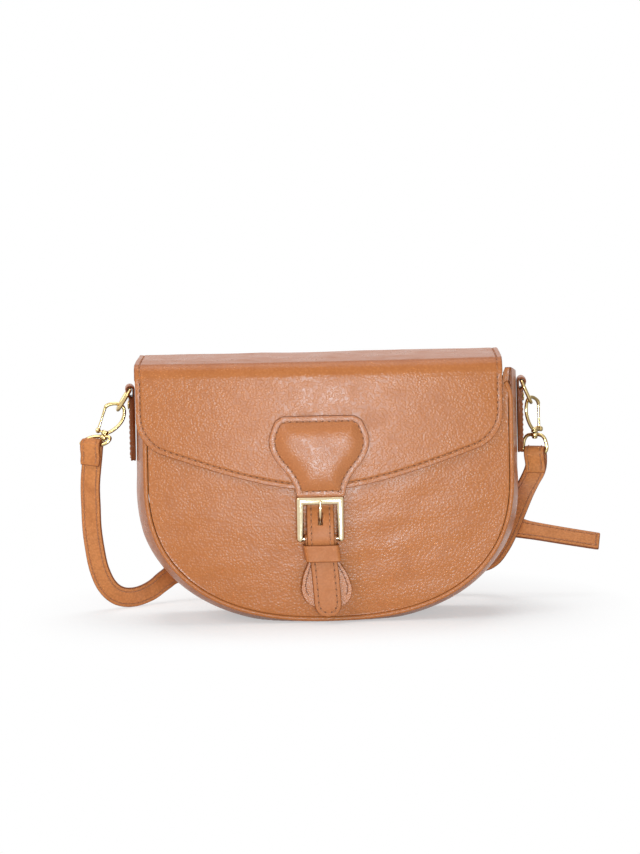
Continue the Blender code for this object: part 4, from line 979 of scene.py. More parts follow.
@dataclass
class Studio:
    """White room, soft lamps and the camera of the photograph."""

    depth_slope: float = 0.027
    height_slope: float = -0.1158
    roll_deg: float = 1.1
    distance: float = 8.0
    aim: tuple[float, float, float] = (-0.005, -0.036, 0.1235)
    metres_per_pixel: float = 0.000627
    frame_height: int = 854
    shadow_reach: float = 0.10
    room_light: float = 0.36
    floor_half: float = 2.5
    sensor: float = 24.0

    def camera(self) -> Piece:
        """The camera: far away with a long lens, a little above the bag and left of its middle."""
        data = bpy.data.cameras.new("camera")
        ray = unit(np.array([self.depth_slope, 1.0, self.height_slope]))
        eye = np.array(self.aim) - ray * self.distance
        right = unit(np.cross(ray, (0.0, 0.0, 1.0)))
        up = np.cross(right, ray)
        turn = math.radians(self.roll_deg)
        side = right * math.cos(turn) - up * math.sin(turn)
        rise = right * math.sin(turn) + up * math.cos(turn)
        camera = stood("camera", data, (side, rise, -ray, eye))
        data.sensor_fit = "VERTICAL"
        data.sensor_height = self.sensor
        data.lens = self.sensor * self.distance / (self.frame_height * self.metres_per_pixel)
        data.clip_start, data.clip_end = 0.05, 20.0
        bpy.context.scene.camera = camera
        return camera

    def lamp(
        self,
        name: str,
        place: Sequence[float],
        aim: Sequence[float],
        size: float,
        watts: float,
        tint: tuple[float, float, float] = (1.0, 1.0, 1.0),
    ) -> None:
        """One square soft lamp.

        Args:
            name: The lamp's name.
            place: Where it hangs.
            aim: The point that it faces.
            size: Its side.
            watts: Its power.
            tint: Its colour.
        """
        data = bpy.data.lights.new(name, "AREA")
        data.shape, data.size, data.energy, data.color = "SQUARE", size, watts, tint
        back = unit(np.array(place, float) - np.array(aim, float))
        right = unit(np.cross((0.0, 0.0, 1.0), back))
        stood(name, data, (right, np.cross(back, right), back, np.array(place, float)))

    def white(self, name: str, shade: float) -> Finish:
        """Pale paint where the bag's shadow falls; white to the camera, gloss and glass beyond it."""
        n = Nodes(name)
        reach = n.add("VectorMath", operation="LENGTH")
        n.link(n.place((1.0, 0.8, 1.0)), reach.inputs[0])
        far = n.add("Math", operation="MULTIPLY")
        beyond = n.ramp(reach.outputs["Value"], self.shadow_reach, self.shadow_reach * 2.0, 0.45, 1.0)
        n.link(beyond, far.inputs[0])
        n.link(n.seen(), far.inputs[1])
        paint = n.add("BsdfDiffuse")
        paint.inputs["Color"].default_value = (shade, shade, shade, 1.0)
        glow = n.add("Emission")
        return n.finish(n.blend(far.outputs[0], paint, glow))

    def build(self) -> None:
        """Make the floor, the white surroundings, the lamps and the camera."""
        scene = bpy.context.scene
        scene.view_settings.view_transform = "Standard"
        room = Nodes("white_room", world=True)
        scene.world = room.material
        dim = room.add("Background", Color=WHITE, Strength=self.room_light)
        bright = room.add("Background", Color=WHITE, Strength=1.0)
        room.finish(room.blend(room.seen(), dim, bright))

        wide = self.floor_half
        corners = [(-wide, -wide), (wide, -wide), (wide, wide), (-wide, wide)]
        corners = [(x, y, -0.00005) for x, y in corners]
        floor = make_object("floor", corners, [[0, 1, 2, 3]], self.white("floor_paint", 0.97))
        middle = (0.0, 0.0, 0.09)
        self.lamp("key", (0.022, -0.66, 0.065), (0.0, 0.0, 0.10), 0.13, 3.6, (0.62, 0.86, 1.0))
        self.lamp("fill", (-1.10, -0.90, 1.10), middle, 0.8, 8.5)
        self.lamp("top", (0.05, 0.20, 1.50), middle, 1.0, 10.0)
        self.camera()


def groove(distance: Array, at: float, half: float) -> Array:
    """A soft bell: one where distance equals at, fading over half."""
    return np.exp(-(((distance - at) / half) ** 2))


def distance_to(points: Array, line: Array) -> Array:
    """Distance from each point to the nearest point of a densely read line.

    Args:
        points: Shape (rows, columns, 2).
        line: Shape (n, 2).

    Returns:
        Distances, shape (rows, columns).
    """
    flat = points.reshape(-1, 2)
    best = np.full(len(flat), np.inf)
    for block in np.array_split(line, max(1, len(line) // 64)):
        gap = np.linalg.norm(flat[:, None] - block[None], axis=2).min(axis=1)
        best = np.minimum(best, gap)
    return best.reshape(points.shape[:2])


def ripple(x: Array, y: Array, size: float, seed: int) -> Array:
    """A gentle irregular wave: six sines of seeded directions and phases, about -1 to 1.

    Args:
        x: First coordinate.
        y: Second coordinate.
        size: Typical wavelength.
        seed: Picks the directions and phases.

    Returns:
        The wave's height at each place.
    """
    chance = np.random.default_rng(seed)
    total = np.zeros(np.broadcast(x, y).shape)
    for _ in range(6):
        angle, phase = chance.uniform(0, 2 * math.pi, 2)
        length = size * chance.uniform(0.7, 1.8)
        total = total + np.sin(2 * math.pi * (x * math.cos(angle) + y * math.sin(angle)) / length + phase)
    return total / 3.5


def drawn_in(x: Array, y: Array, z: Array) -> Array:
    """x of the body's walls, drawn in by up to 6 mm at the back of their upper ends."""
    foot, rise, depth, share = 0.130, 0.028, 0.035, 0.052
    return x * (1 - share * held((z - foot) / rise) ** 1.5 * held(y / depth) ** 2)


@dataclass
class Body:
    """Front and back panels, the band between them, corded seams and the lining."""

    wardrobe: Wardrobe
    half: float = 0.115
    depth: float = 0.035
    seam_base: float = 0.0021
    belly: float = 0.0895
    power: float = 2.4
    front_top: float = 0.149
    back_top: float = 0.1602
    gusset_top: float = 0.155
    panel_thickness: float = 0.0016
    gusset_thickness: float = 0.0018
    panel_bulge: float = 0.0050
    gusset_bulge: float = 0.0040
    belly_bulge: float = 0.55
    flap_edge: float = 0.1097
    corner_rise: float = 0.0090
    corner_reach: float = 0.0013
    front_rise: float = 0.0028
    corner_fall: float = 0.0155
    fall_start: float = 0.105
    fall_run: float = 0.008
    end_run: float = 0.03
    rear_drop: float = 0.0100
    cord: float = 0.0015
    slack: float = 0.0018
    lining_thickness: float = 0.0008

    @property
    def centre(self) -> float:
        """Height of the belly's widest level."""
        return self.seam_base + self.belly

    def seam_line(self, steps: int, inset: float, top: float, straight: int = 24) -> Array:
        """The D-shaped seam: straight sides, then |x/a|^p + |z/b|^p = 1 round the belly.

        Args:
            steps: Points round the belly.
            inset: How far inside the seam the line runs.
            top: Height of both upper ends.
            straight: Points along each straight side.

        Returns:
            (x, z) points from the top left to the top right.
        """
        half, drop = self.half - inset, self.belly - inset
        a = np.linspace(math.pi, 2 * math.pi, steps)
        x = half * np.sign(np.cos(a)) * np.abs(np.cos(a)) ** (2 / self.power)
        z = self.centre - drop * np.abs(np.sin(a)) ** (2 / self.power)
        rise = np.linspace(top, self.centre, straight + 1)[:-1]
        left = points_of(-half, rise)
        return np.concatenate([left, points_of(x, z), left[::-1] * (-1, 1)])

    def swell(self, x: Array, z: Array) -> Array:
        """Share of the full bulge, 1 - (|x/a|^p + |z/b|^p)^(2/p): one in the middle, zero at the seam."""
        across = np.abs(x) / self.half
        below = held((self.centre - z) / self.belly)
        return held(1 - (across**self.power + below**self.power) ** (2 / self.power))

    def fade(self, z: Array, side: int) -> Array:
        """The back draws in to its straight top edge; the front stays full."""
        rise = held((z - self.centre) / (self.back_top - self.centre))
        return 1 - rise**2 * (side > 0)

    def d_grid(self, columns: int, rows: int, inset: float, top: float) -> tuple[Array, Array]:
        """Columns across the D, each from the belly up to the top.

        Args:
            columns: Points across, closer together towards the sides.
            rows: Points up each column.
            inset: How far inside the seam the grid ends.
            top: The upper edge's height.

        Returns:
            x and z, each of shape (rows, columns).
        """
        half = self.half - inset
        turn = sine_steps(columns)
        foot = self.centre - (self.belly - inset) * (1 - np.abs(turn) ** self.power) ** (1 / self.power)
        share = np.linspace(0, 1, rows)[:, None] ** 1.5
        z = foot + (top - foot) * share
        return np.broadcast_to(half * turn, z.shape), z

    def panel(self, name: str, side: int, top: float) -> Piece:
        """A front or back panel that bulges and sags softly and rolls in at its corded seam.

        Beside the flap the front's right corner stands corner_rise higher than its middle.

        Args:
            name: The piece's name.
            side: -1 for the front, 1 for the back.
            top: Height of its upper edge.

        Returns:
            The panel.
        """
        x, z = self.d_grid(201, 111, self.cord + GAP, top)
        swell = self.swell(x, z)
        roll = held(swell / 0.05)
        sag = ripple(x, z * 1.5, 0.075, 5 + side) * 0.00055
        sag = sag + ripple(x, z * 2.2, 0.032, 9 + side) * 0.00016
        middle = self.depth + self.panel_bulge * swell * self.fade(z, side) + sag * roll * (side < 0)
        if side < 0:
            corner = held((x - self.flap_edge) / 0.0006) * held((z - top + 0.02) / 0.02)
            x = x + self.corner_reach * corner**3
            z = z + self.corner_rise * corner
        else:
            corner = held((np.abs(x) - self.fall_start) / self.fall_run)
            corner = corner * held((z - top) / self.end_run + 1)
            x = drawn_in(x, np.full_like(x, self.depth), z)
            z = z - self.corner_fall * corner
        skins = [
            points_of(x, side * (middle + o), z)
            for o in (self.panel_thickness / 2, -self.panel_thickness / 2)
        ]
        # Painted shade: darker near the corded seam, where the panel rolls in.
        seam = held(1 - swell / 0.035) ** 1.5
        seam[z > self.centre] = (held(1 - (self.half - np.abs(x)) / 0.0035) ** 1.5)[z > self.centre]
        return plate(name, skins[0], skins[1], self.wardrobe.body, seam * 0.8)

    def band(
        self, name: str, inset: float, thickness: float, bulge: float, top: float, material: Finish
    ) -> Piece:
        """The band between the panels, crowned outwards by bulge * (1 - s^2) across its width.

        Below the widest level the crown grows by the share belly_bulge.

        Args:
            name: The piece's name.
            inset: How far inside the seam it runs.
            thickness: Its leather's thickness.
            bulge: Its crown.
            top: Height of its two ends.
            material: Its finish.

        Returns:
            The band.
        """
        line = self.seam_line(221, inset, top, 40)
        flat = points_of(line[:, 0], 0.0, line[:, 1])
        normal = tangents_of(flat)[:, [2, 1, 0]] * (1.0, 1.0, -1.0)
        reach = self.depth - self.cord - GAP
        skins = []
        shares = sine_steps(31)
        for offset in (thickness / 2, -thickness / 2):
            fuller = 1 + self.belly_bulge * held((self.centre - line[:, 1]) / 0.035)
            crown = offset + bulge * np.outer(1 - shares**2, fuller)
            rows = flat[None] + normal[None] * crown[:, :, None]
            rows[:, :, 1] = (shares * reach)[:, None]
            wave = ripple(rows[:, :, 1] * 1.4, line[None, :, 1] * 0.7, 0.05, 3)
            wave = wave * 0.0004 * (1 - shares[:, None] ** 4)
            high = held((line[None, :, 1] - 0.02) / 0.03)
            rows -= normal[None] * np.abs(wave * high)[..., None]
            rows[:, :, 2] = np.maximum(rows[:, :, 2], thickness / 2 - offset)
            rows[:, :, 0] = drawn_in(rows[:, :, 0], rows[:, :, 1], rows[:, :, 2])
            rear = (rows[:, :, 1] / reach + 1) / 2
            lift = self.front_rise - (self.rear_drop + self.front_rise) * rear
            rows[:, :, 2] += lift * held((rows[:, :, 2] - top) / self.end_run + 1)
            skins.append(rows)
        # Painted shade along both edges of the band, next to the cords.
        seam = held(1 - (1 - np.abs(shares)) / 0.06)[:, None] + np.zeros((1, len(line)))
        return plate(name, skins[0], skins[1], material, seam * 0.75)

    def cording(self, name: str, side: int, top: float) -> Piece:
        """The corded seam round a panel, drawn in slightly by each stitch.

        Args:
            name: The piece's name.
            side: -1 for the front, 1 for the back.
            top: Height of both ends.

        Returns:
            The cording.
        """
        line = self.seam_line(400, 0.0, top, 60)
        curl = held((line[:, 1] - top + 0.011) / 0.011) ** 2 * 0.0030 * (line[:, 0] > 0) * (side < 0)
        points = points_of(line[:, 0] - curl, side * self.depth - curl * 0.3, line[:, 1])
        if side > 0:
            points[:, 0] = drawn_in(points[:, 0], points[:, 1], points[:, 2])
        points = even_line(points, 0.0006)
        reach = np.arange(len(points)) * 0.0006
        radius = self.cord * (
            1 + 0.022 * np.sin(reach * 2 * math.pi / 0.0032) + 0.02 * ripple(reach, reach * 0, 0.03, 4)
        )
        return tube(name, points, radius, self.wardrobe.body, (0.0, 1.0, 0.0), sides=18)

    def lining(self) -> Piece:
        """The suede bag inside: one skin down the front, along the band and up the back."""
        inset = self.gusset_thickness / 2 + self.slack
        top = self.front_top - self.slack
        x, z = self.d_grid(101, 40, inset, top)
        skins = []
        for offset in (self.lining_thickness, 0.0):
            scale = 1 - (self.lining_thickness - offset) / self.half
            reach = self.depth - self.panel_thickness / 2 - self.slack - self.lining_thickness + offset
            drop = z + (self.lining_thickness - offset) * (z < top)
            soft = ripple(x, z, 0.04, 8) * 0.0004 * held(self.swell(x, z) * 6)
            front = reach + self.panel_bulge * self.swell(x, z) - np.abs(soft)
            back = reach + self.panel_bulge * self.swell(x, z) * self.fade(z, 1) - np.abs(soft)
            rear = drawn_in(x * scale, back, drop)
            low = drop - self.slack * held((drop - top + 0.02) / 0.02) * held(np.abs(x) / 0.1) ** 8
            down, up = points_of(x * scale, -front, drop)[::-1], points_of(rear, back, low)
            skins.append(np.concatenate([down, up]))
        return plate("lining_cloth", skins[0], skins[1], self.wardrobe.suede)

    def build(self) -> None:
        """Make and dress every piece of the body."""
        dress(self.panel("front_leather", -1, self.front_top), "bag", "leather", "front_panel")
        dress(self.panel("back_leather", 1, self.back_top), "bag", "leather", "back_panel")
        sizes = self.gusset_thickness, self.gusset_bulge, self.gusset_top
        band = self.band("band_leather", 0.0, *sizes, self.wardrobe.body)
        dress(band, "bag", "leather", "gusset")
        dress(self.cording("front_cording", -1, self.front_top), "bag", "leather", "front_piping")
        cord = self.cording("back_cording", 1, self.gusset_top - self.rear_drop)
        dress(cord, "bag", "leather", "back_piping")
        dress(self.lining(), "bag", "suede", "lining")


@dataclass
class Flap:
    """The flap with its lining, edge stitching and padded patch."""

    wardrobe: Wardrobe
    width: float = 0.230
    shift: float = -0.0055
    thickness: float = 0.0014
    lining_thickness: float = 0.0008
    fold: float = 0.0070
    top: float = 0.165
    drop: float = 0.0015
    tip: float = 0.085
    bend: float = 0.0207
    slope: float = 0.40
    corner: float = 0.024
    hinge_y: float = 0.035
    face: float = 0.0368
    bulge: float = 0.0050
    bulge_half: float = 0.115
    lining_inset: float = 0.004
    stitch_inset: float = 0.0029
    press: float = 0.00028
    press_half: float = 0.0007
    edge_draw: float = 0.0046
    patch_height: float = 0.0503
    patch_width: float = 0.062
    patch_foot: float = 0.081
    patch_puff: float = 0.0048
    puff_reach: float = 0.0044
    patch_leather: float = 0.0014
    patch_border: float = 0.0032
    patch_tilt_deg: float = 3.5
    patch_shares: tuple[float, ...] = (0.47, 0.53, 0.66, 0.85, 0.97, 1.00, 0.93, 0.82)

    @property
    def total(self) -> float:
        """Thickness of leather, gap and lining together."""
        return self.lining_thickness + GAP + self.thickness

    def edge(self, x: Array, inset: float = 0.0) -> Array:
        """Height of the lower edge: tip + sqrt(bend^2 + (slope x)^2) - bend, then a round corner.

        Args:
            x: Distance from the flap's middle.
            inset: How far inside the edge.

        Returns:
            The height at each x.
        """
        half = self.width / 2 - inset
        x = np.abs(x)

        def bow(reach: Array | float) -> Array | float:
            """The shallow bow's height."""
            return self.tip + inset + np.sqrt(self.bend**2 + (self.slope * reach) ** 2) - self.bend

        lean = math.atan(self.slope)
        start = half - self.corner * (1 - math.sin(lean))
        centre = bow(start) + self.corner * math.cos(lean)
        reach = np.clip(x - (half - self.corner), 0, self.corner)
        return np.where(x < start, bow(x), centre - np.sqrt(self.corner**2 - reach**2))

    def front(self, x: Array) -> Array:
        """How far the hanging part's outer face stands before the body's middle."""
        return self.face + self.total + self.bulge * (1 - ((x - self.shift) / self.bulge_half) ** 2)

    def outline(self, inset: float, count: int = 900) -> Array:
        """The hanging part's outline as (x, z) points: down the left side, along the bow, up the right.

        Args:
            inset: How far inside the cut edge.
            count: Points along the lower edge.

        Returns:
            The outline, densely read.
        """
        half = self.width / 2 - inset
        x = half * sine_steps(count)
        z = self.edge(x, inset)
        high = np.linspace(self.top - self.total - self.fold, z[0], 120)[:-1]
        left = points_of(-half, high)
        return np.concatenate([left, points_of(x, z), left[::-1] * (-1, 1)])

    def grids(
        self, low: float, high: float, inset: float, columns: int, rows: tuple[int, int, int]
    ) -> list[Array]:
        """The flap's two skins: over the top, round the fold and down to the edge.

        Args:
            low: Height of the inner skin over the body's side of the flap.
            high: Height of the outer skin.
            inset: How far inside the cut edge.
            columns: Points across.
            rows: Points along the top, the fold and the hanging part.

        Returns:
            Outer and inner skins, with x still counted from the flap's middle.
        """
        half = self.width / 2 - inset
        x = half * sine_steps(columns)
        face = self.face + self.bulge * (1 - (x / self.bulge_half) ** 2)
        flat_top = self.top - self.total
        edge = self.edge(x, inset)
        start = self.hinge_y - inset
        skins = []
        for offset in (high, low):
            s = np.linspace(0, 1, rows[0])[:, None]
            y = start + (self.fold - face - start) * s
            z = flat_top + self.drop * np.minimum(1.0, s * 1.5) - self.drop + offset + 0 * x
            a = np.linspace(0, math.pi / 2, rows[1] + 1)[1:, None]
            y2 = self.fold - face - (self.fold + offset) * np.sin(a)
            z2 = flat_top - self.fold + (self.fold + offset) * np.cos(a) + 0 * x
            d = (1 - (1 - np.linspace(0, 1, rows[2] + 1)[1:, None]) ** 1.35)
            z3 = (flat_top - self.fold) + (edge - flat_top + self.fold) * d
            y3 = -(face + offset) + 0 * z3
            wide = np.broadcast_to(x, (sum(rows), columns))
            skins.append(points_of(wide, np.concatenate([y, y2, y3]), np.concatenate([z, z2, z3])))
        return skins

    def narrowed(self, x: Array, y: Array, z: Array) -> Array:
        """x of a place on the flap, whose left edge runs inwards on top, by up to edge_draw at the back."""
        rear = held((y + 0.036) / 0.066) * held((z - 0.150) / 0.008)
        return x + self.edge_draw * rear * held(-x / (self.width / 2)) ** 3

    def set_over(self, *skins: Array) -> None:
        """Draw in a flap's skins and put them over the body."""
        for skin in skins:
            skin[:, :, 0] = self.narrowed(*np.moveaxis(skin, 2, 0)) + self.shift

    def leather(self) -> Piece:
        """The outer leather: pressed in along its stitching and gently uneven on top and in front."""
        rows = (46, 16, 96)
        outer, inner = self.grids(self.lining_thickness + GAP, self.total, 0.0, 221, rows)
        hanging = outer[sum(rows[:2]) :]
        near = distance_to(hanging[:, :, [0, 2]], self.outline(0.0))
        press = groove(near, self.stitch_inset, self.press_half) * self.press
        soft = held(near / 0.012) * ripple(hanging[:, :, 0], hanging[:, :, 2], 0.06, 21) * 0.00022
        hanging[:, :, 1] += press - soft
        flat = outer[: rows[0]]
        away = np.minimum(self.width / 2 - np.abs(flat[:, :, 0]), 0.02) / 0.02
        flat[:, :, 2] -= np.abs(ripple(flat[:, :, 0], flat[:, :, 1] * 1.5, 0.07, 23)) * 0.00040 * away
        side = np.concatenate([self.width / 2 - np.abs(outer[: sum(rows[:2]), :, 0]), near])
        press = groove(side, self.stitch_inset, self.press_half) * self.press
        outer[: sum(rows[:2]), :, 2] -= press[: sum(rows[:2])]
        # Painted shade in the pressed stitch line and along the cut edge.
        seam = groove(side, self.stitch_inset, 0.0009) * 0.22 + held(1 - side / 0.0012) * 0.4
        self.set_over(outer, inner)
        return plate("flap_leather", outer, inner, self.wardrobe.body, seam)

    def lining(self) -> Piece:
        """The suede lining glued under the leather."""
        outer, inner = self.grids(0.0, self.lining_thickness, self.lining_inset, 61, (18, 8, 24))
        self.set_over(outer, inner)
        return plate("flap_suede", outer, inner, self.wardrobe.suede)

    def stitching(self) -> Piece:
        """Thread round the three free edges: up over the fold on both sides and along the bow."""
        line = self.outline(self.stitch_inset)
        y = -self.front(line[:, 0] + self.shift) + 0.00010
        hang = points_of(line[:, 0] + self.shift, y, line[:, 1])
        out = every((0.0, -1.0, 0.0), len(hang))
        bends, lifts = [], []
        radius = self.fold + self.total
        for side in (-1, 1):
            x = side * (self.width / 2 - self.stitch_inset)
            face = self.face + self.bulge * (1 - (x / self.bulge_half) ** 2)
            s = np.linspace(0, 1, 60)[:-1]
            y = self.hinge_y - 0.004 + (self.fold - face - self.hinge_y + 0.004) * s
            z = self.top - self.drop * (1 - np.minimum(1.0, s * 1.5))
            a = np.linspace(0, math.pi / 2, 24)[:-1]
            y = np.concatenate([y, self.fold - face - radius * np.sin(a)])
            z = np.concatenate([z, self.top - self.total - self.fold + radius * np.cos(a)])
            tilt = np.concatenate([0 * s, -np.sin(a)]), np.concatenate([0 * s + 1, np.cos(a)])
            normal = points_of(0.0, *tilt)
            across = self.narrowed(np.full(len(y), x), y, z) + self.shift
            bends.append(points_of(across, y, z - 0.0001))
            lifts.append(normal)
        line = np.concatenate([bends[0], hang, bends[1][::-1]])
        out = np.concatenate([lifts[0], out, lifts[1][::-1]])
        return sewn("flap_stitching", line, out, self.wardrobe.thread, self.wardrobe.hole_shade)

    def patch_half(self, rise: Array) -> Array:
        """Half the patch's width at a share of its height, with rounded upper corners."""
        knots = np.linspace(0, 1, len(self.patch_shares))
        curve = smooth_line(points_of(knots, np.array(self.patch_shares), 0 * knots), knots[1] / 12)
        half = np.interp(rise, curve[:, 0], curve[:, 1]) * self.patch_width / 2
        return half * (1 - 0.14 * held((rise - 0.92) / 0.08) ** 2.4)

    def patch_outline(self, inset: float) -> Array:
        """The patch's outline as (x, z) points, each moved inwards along its normal.

        Args:
            inset: How far inside the cut edge.

        Returns:
            A closed line, anticlockwise from the foot's left end.
        """
        rise = np.linspace(0, 1, 160)
        half = self.patch_half(rise)
        right = points_of(half, rise * self.patch_height)
        line = np.concatenate([right, right[::-1] * (-1, 1)])
        line = even_line(np.column_stack([line, np.zeros(len(line))]), 0.0007, True)[:, :2]
        ahead = unit(np.roll(line, -1, axis=0) - np.roll(line, 1, axis=0))
        for _ in range(3):
            ahead = unit(np.roll(ahead, 1, axis=0) + ahead + np.roll(ahead, -1, axis=0))
        return line + points_of(-ahead[:, 1], ahead[:, 0]) * inset

    def patch_place(self, x: Array, z: Array) -> tuple[Array, Array]:
        """Real x and z of a place on the patch, which leans with the closure below it."""
        lean = math.tan(math.radians(self.patch_tilt_deg)) * 0.25
        return x + self.shift - z * lean, z + self.patch_foot

    def patch(self) -> Piece:
        """The padded patch: flat border, pressed stitch line, then a full cushion.

        The cushion's height is puff * (1 - e^-((d - border) / reach)^1.45) at a distance d from the edge.

        Returns:
            The patch.
        """
        rows, columns = 91, 91
        rise = sine_steps(rows) / 2 + 0.5
        across = sine_steps(columns)
        x = self.patch_half(rise)[:, None] * across[None]
        z = np.broadcast_to((rise * self.patch_height)[:, None], x.shape)
        near = distance_to(points_of(x, z), self.patch_outline(0.0))
        border = self.patch_border
        inside = np.clip(near - border, 0, None)
        fill = 1 - np.exp(-((inside / self.puff_reach) ** 1.45))
        dome = (self.patch_puff - 0.0002) * fill * (0.90 + 0.10 * held(near / 0.022))
        rim = self.patch_leather * (0.86 + 0.14 * held(near / 0.0010))
        rim = rim - groove(near, border, 0.0008) * 0.00012
        wrinkle = ripple(x, z, 0.016, 31) * 0.00010 * fill
        px, pz = self.patch_place(x, z)
        back = self.front(px) + GAP
        outer = points_of(px, -(back + np.maximum(rim, 0.0004) + dome + wrinkle), pz)
        inner = points_of(px, -back, pz)
        # Painted shade in the pressed stitch line and along the cut edge.
        seam = groove(near, border, 0.0010) * 0.12 + held(1 - near / 0.0008) * 0.5
        return plate("patch_cushion", outer, inner, self.wardrobe.patch, seam)

    def patch_stitching(self) -> Piece:
        """Tan thread in the pressed line round the cushion."""
        line = self.patch_outline(self.patch_border)
        px, pz = self.patch_place(line[:, 0], line[:, 1])
        y = -(self.front(px) + GAP + self.patch_leather + 0.00002)
        out = every((0.0, -1.0, 0.0), len(px))
        line = points_of(px, y, pz)
        return sewn(
            "patch_stitching", line, out, self.wardrobe.thread, self.wardrobe.hole_shade, closed=True
        )

    def build(self) -> None:
        """Make and dress the flap's pieces."""
        dress(self.leather(), "flap", "leather", "flap")
        dress(self.lining(), "flap", "suede", "flap_lining")
        dress(self.stitching(), "flap", "strap_leather")
        cushion = dress(self.patch(), "flap", "patch_leather", "flap_patch", "patch_padding")
        dress(self.patch_stitching(), "flap", "strap_leather")


def squared(line: Array, across: Array) -> tuple[Array, Array]:
    """Width and facing directions of a strap, square to its centre line.

    Args:
        line: Points of the centre line.
        across: About the width's direction at each.

    Returns:
        The two unit directions at each point.
    """
    tangents = tangents_of(line)
    across = unit(across - tangents * np.sum(across * tangents, axis=1, keepdims=True))
    return across, np.cross(across, tangents)


def square_path(half: float, top: float, foot: float, cut: float) -> list[tuple[float, float]]:
    """An open square's outline, from its left foot over its cut upper corners to its right foot.

    Args:
        half: Half its width.
        top: Its upper side's height.
        foot: Height of the feet.
        cut: How much is cut off each corner.

    Returns:
        Its corners as (x, z).
    """
    left = [(-half, foot), (-half, top - cut), (-half + cut, top)]
    return left + [(-x, z) for x, z in reversed(left)]


def ribbon_skins(line: Array, across: Array, widths: Array, columns: int) -> tuple[Array, ...]:
    """Grid of a flat strap: places, facing directions and distance to the cut edge.

    Args:
        line: Centre line, shape (n, 3).
        across: Unit width direction at each point.
        widths: Width at each point.
        columns: Points across, closer together at the edges.

    Returns:
        The middle surface (n, columns, 3), its facing (n, columns, 3) and the distance (n, columns).
    """
    share = sine_steps(columns)
    across, facing = squared(line, across)
    middle = line[:, None] + across[:, None] * (share[None] * widths[:, None] / 2)[..., None]
    reach = distance_along(line)
    flat = points_of(share[None] * widths[:, None] / 2, reach[:, None])
    rim = np.concatenate([flat[0], flat[:, -1], flat[-1, ::-1], flat[::-1, 0]])
    near = distance_to(flat, even_line(np.column_stack([rim, 0 * rim[:, 0]]), 0.0003)[:, :2])
    return middle, np.broadcast_to(facing[:, None], middle.shape), near


def strap_plate(
    name: str,
    line: Array,
    across: Array,
    widths: Array,
    thickness: float,
    material: Finish,
    inset: float = 0.0,
    crown: float = 0.0,
    columns: int = 23,
) -> Piece:
    """A flat leather strap, swollen by crown * (1 - e^(-d / 1 mm)) and pressed in along its stitching.

    Args:
        name: The piece's name.
        line: Centre line.
        across: Width direction at each point.
        widths: Width at each point.
        thickness: Its leather's thickness.
        material: Its finish.
        inset: How far inside the edge the stitch line runs; zero for none.
        crown: How far both faces swell.
        columns: Points across.

    Returns:
        The strap.
    """
    middle, facing, near = ribbon_skins(line, across, widths, columns)
    press = groove(near, inset, 0.0006) * 0.00016 * (inset > 0)
    half = thickness / 2 + crown * (1 - np.exp(-near / 0.001)) - crown - press
    # Painted shade in the pressed stitch line and along the cut edge.
    seam = groove(near, inset, 0.0007) * 0.22 * (inset > 0) + held(1 - near / 0.0007) * 0.5
    return plate(
        name, middle + facing * half[..., None], middle - facing * half[..., None], material, seam
    )


def edge_line(
    line: Array, across: Array, widths: Array, inset: float, lift: float
) -> tuple[Array, Array]:
    """The stitch line inside a strap's cut edge, up one side, round its far end and down the other.

    Args:
        line: Centre line; its first row is the end where the stitching starts.
        across: Width direction at each point.
        widths: Width at each point.
        inset: How far inside the edge.
        lift: How far above the middle surface.

    Returns:
        Places and facing directions.
    """
    across, facing = squared(line, across)
    reach = distance_along(line)
    right = points_of(widths / 2, reach)
    rim = np.concatenate([right, right[::-1] * (-1, 1)])
    rim = even_line(np.column_stack([rim, 0 * rim[:, 0]]), 0.0003)[:, :2]
    ahead = unit(np.gradient(rim, axis=0))
    for _ in range(4):
        ahead = unit(np.concatenate([ahead[:1], ahead[:-2] + ahead[1:-1] + ahead[2:], ahead[-1:]]))
    inner = rim + points_of(-ahead[:, 1], ahead[:, 0]) * inset
    inner[:, 1] = np.clip(inner[:, 1], 0.0, reach[-1] - inset)
    rows = [
        np.stack([np.interp(inner[:, 1], reach, block[:, k]) for k in range(3)], axis=1)
        for block in (line, across, facing)
    ]
    return rows[0] + rows[1] * inner[:, :1] + rows[2] * lift, unit(rows[2])


def loop_band(
    name: str,
    loop: Array,
    across: Sequence[float],
    width: float,
    thickness: float,
    material: Finish,
) -> Piece:
    """A closed leather band round a loop: its section is a rectangle with round edges.

    Args:
        name: The piece's name.
        loop: Closed line of the band's middle.
        across: The band's width direction.
        width: Its width.
        thickness: Its thickness.
        material: Its finish.

    Returns:
        The band.
    """
    across = unit(np.asarray(across, float))
    facing = unit(np.cross(tangents_of(loop, True), across))
    turn = np.linspace(0, math.pi, 7)
    bend = thickness / 2
    side = [(width / 2 - bend + bend * math.sin(a), bend * math.cos(a)) for a in turn]
    flat = np.linspace(-1, 1, 12)[1:-1] * (width / 2 - bend)
    section = [(u, bend) for u in flat] + side
    section += [(-u, -v) for u, v in section]
    section = np.array(section)
    rows = loop[:, None] + across * section[None, :, :1] + facing[:, None] * section[None, :, 1:]
    edge = np.tile((np.abs(section[:, 0]) > width / 2 - bend * 0.7).astype(float), len(loop))
    faces = grid_faces(len(loop), len(section), wrap_rows=True, wrap=True)
    return make_object(name, rows.reshape(-1, 3), faces, material, edge)


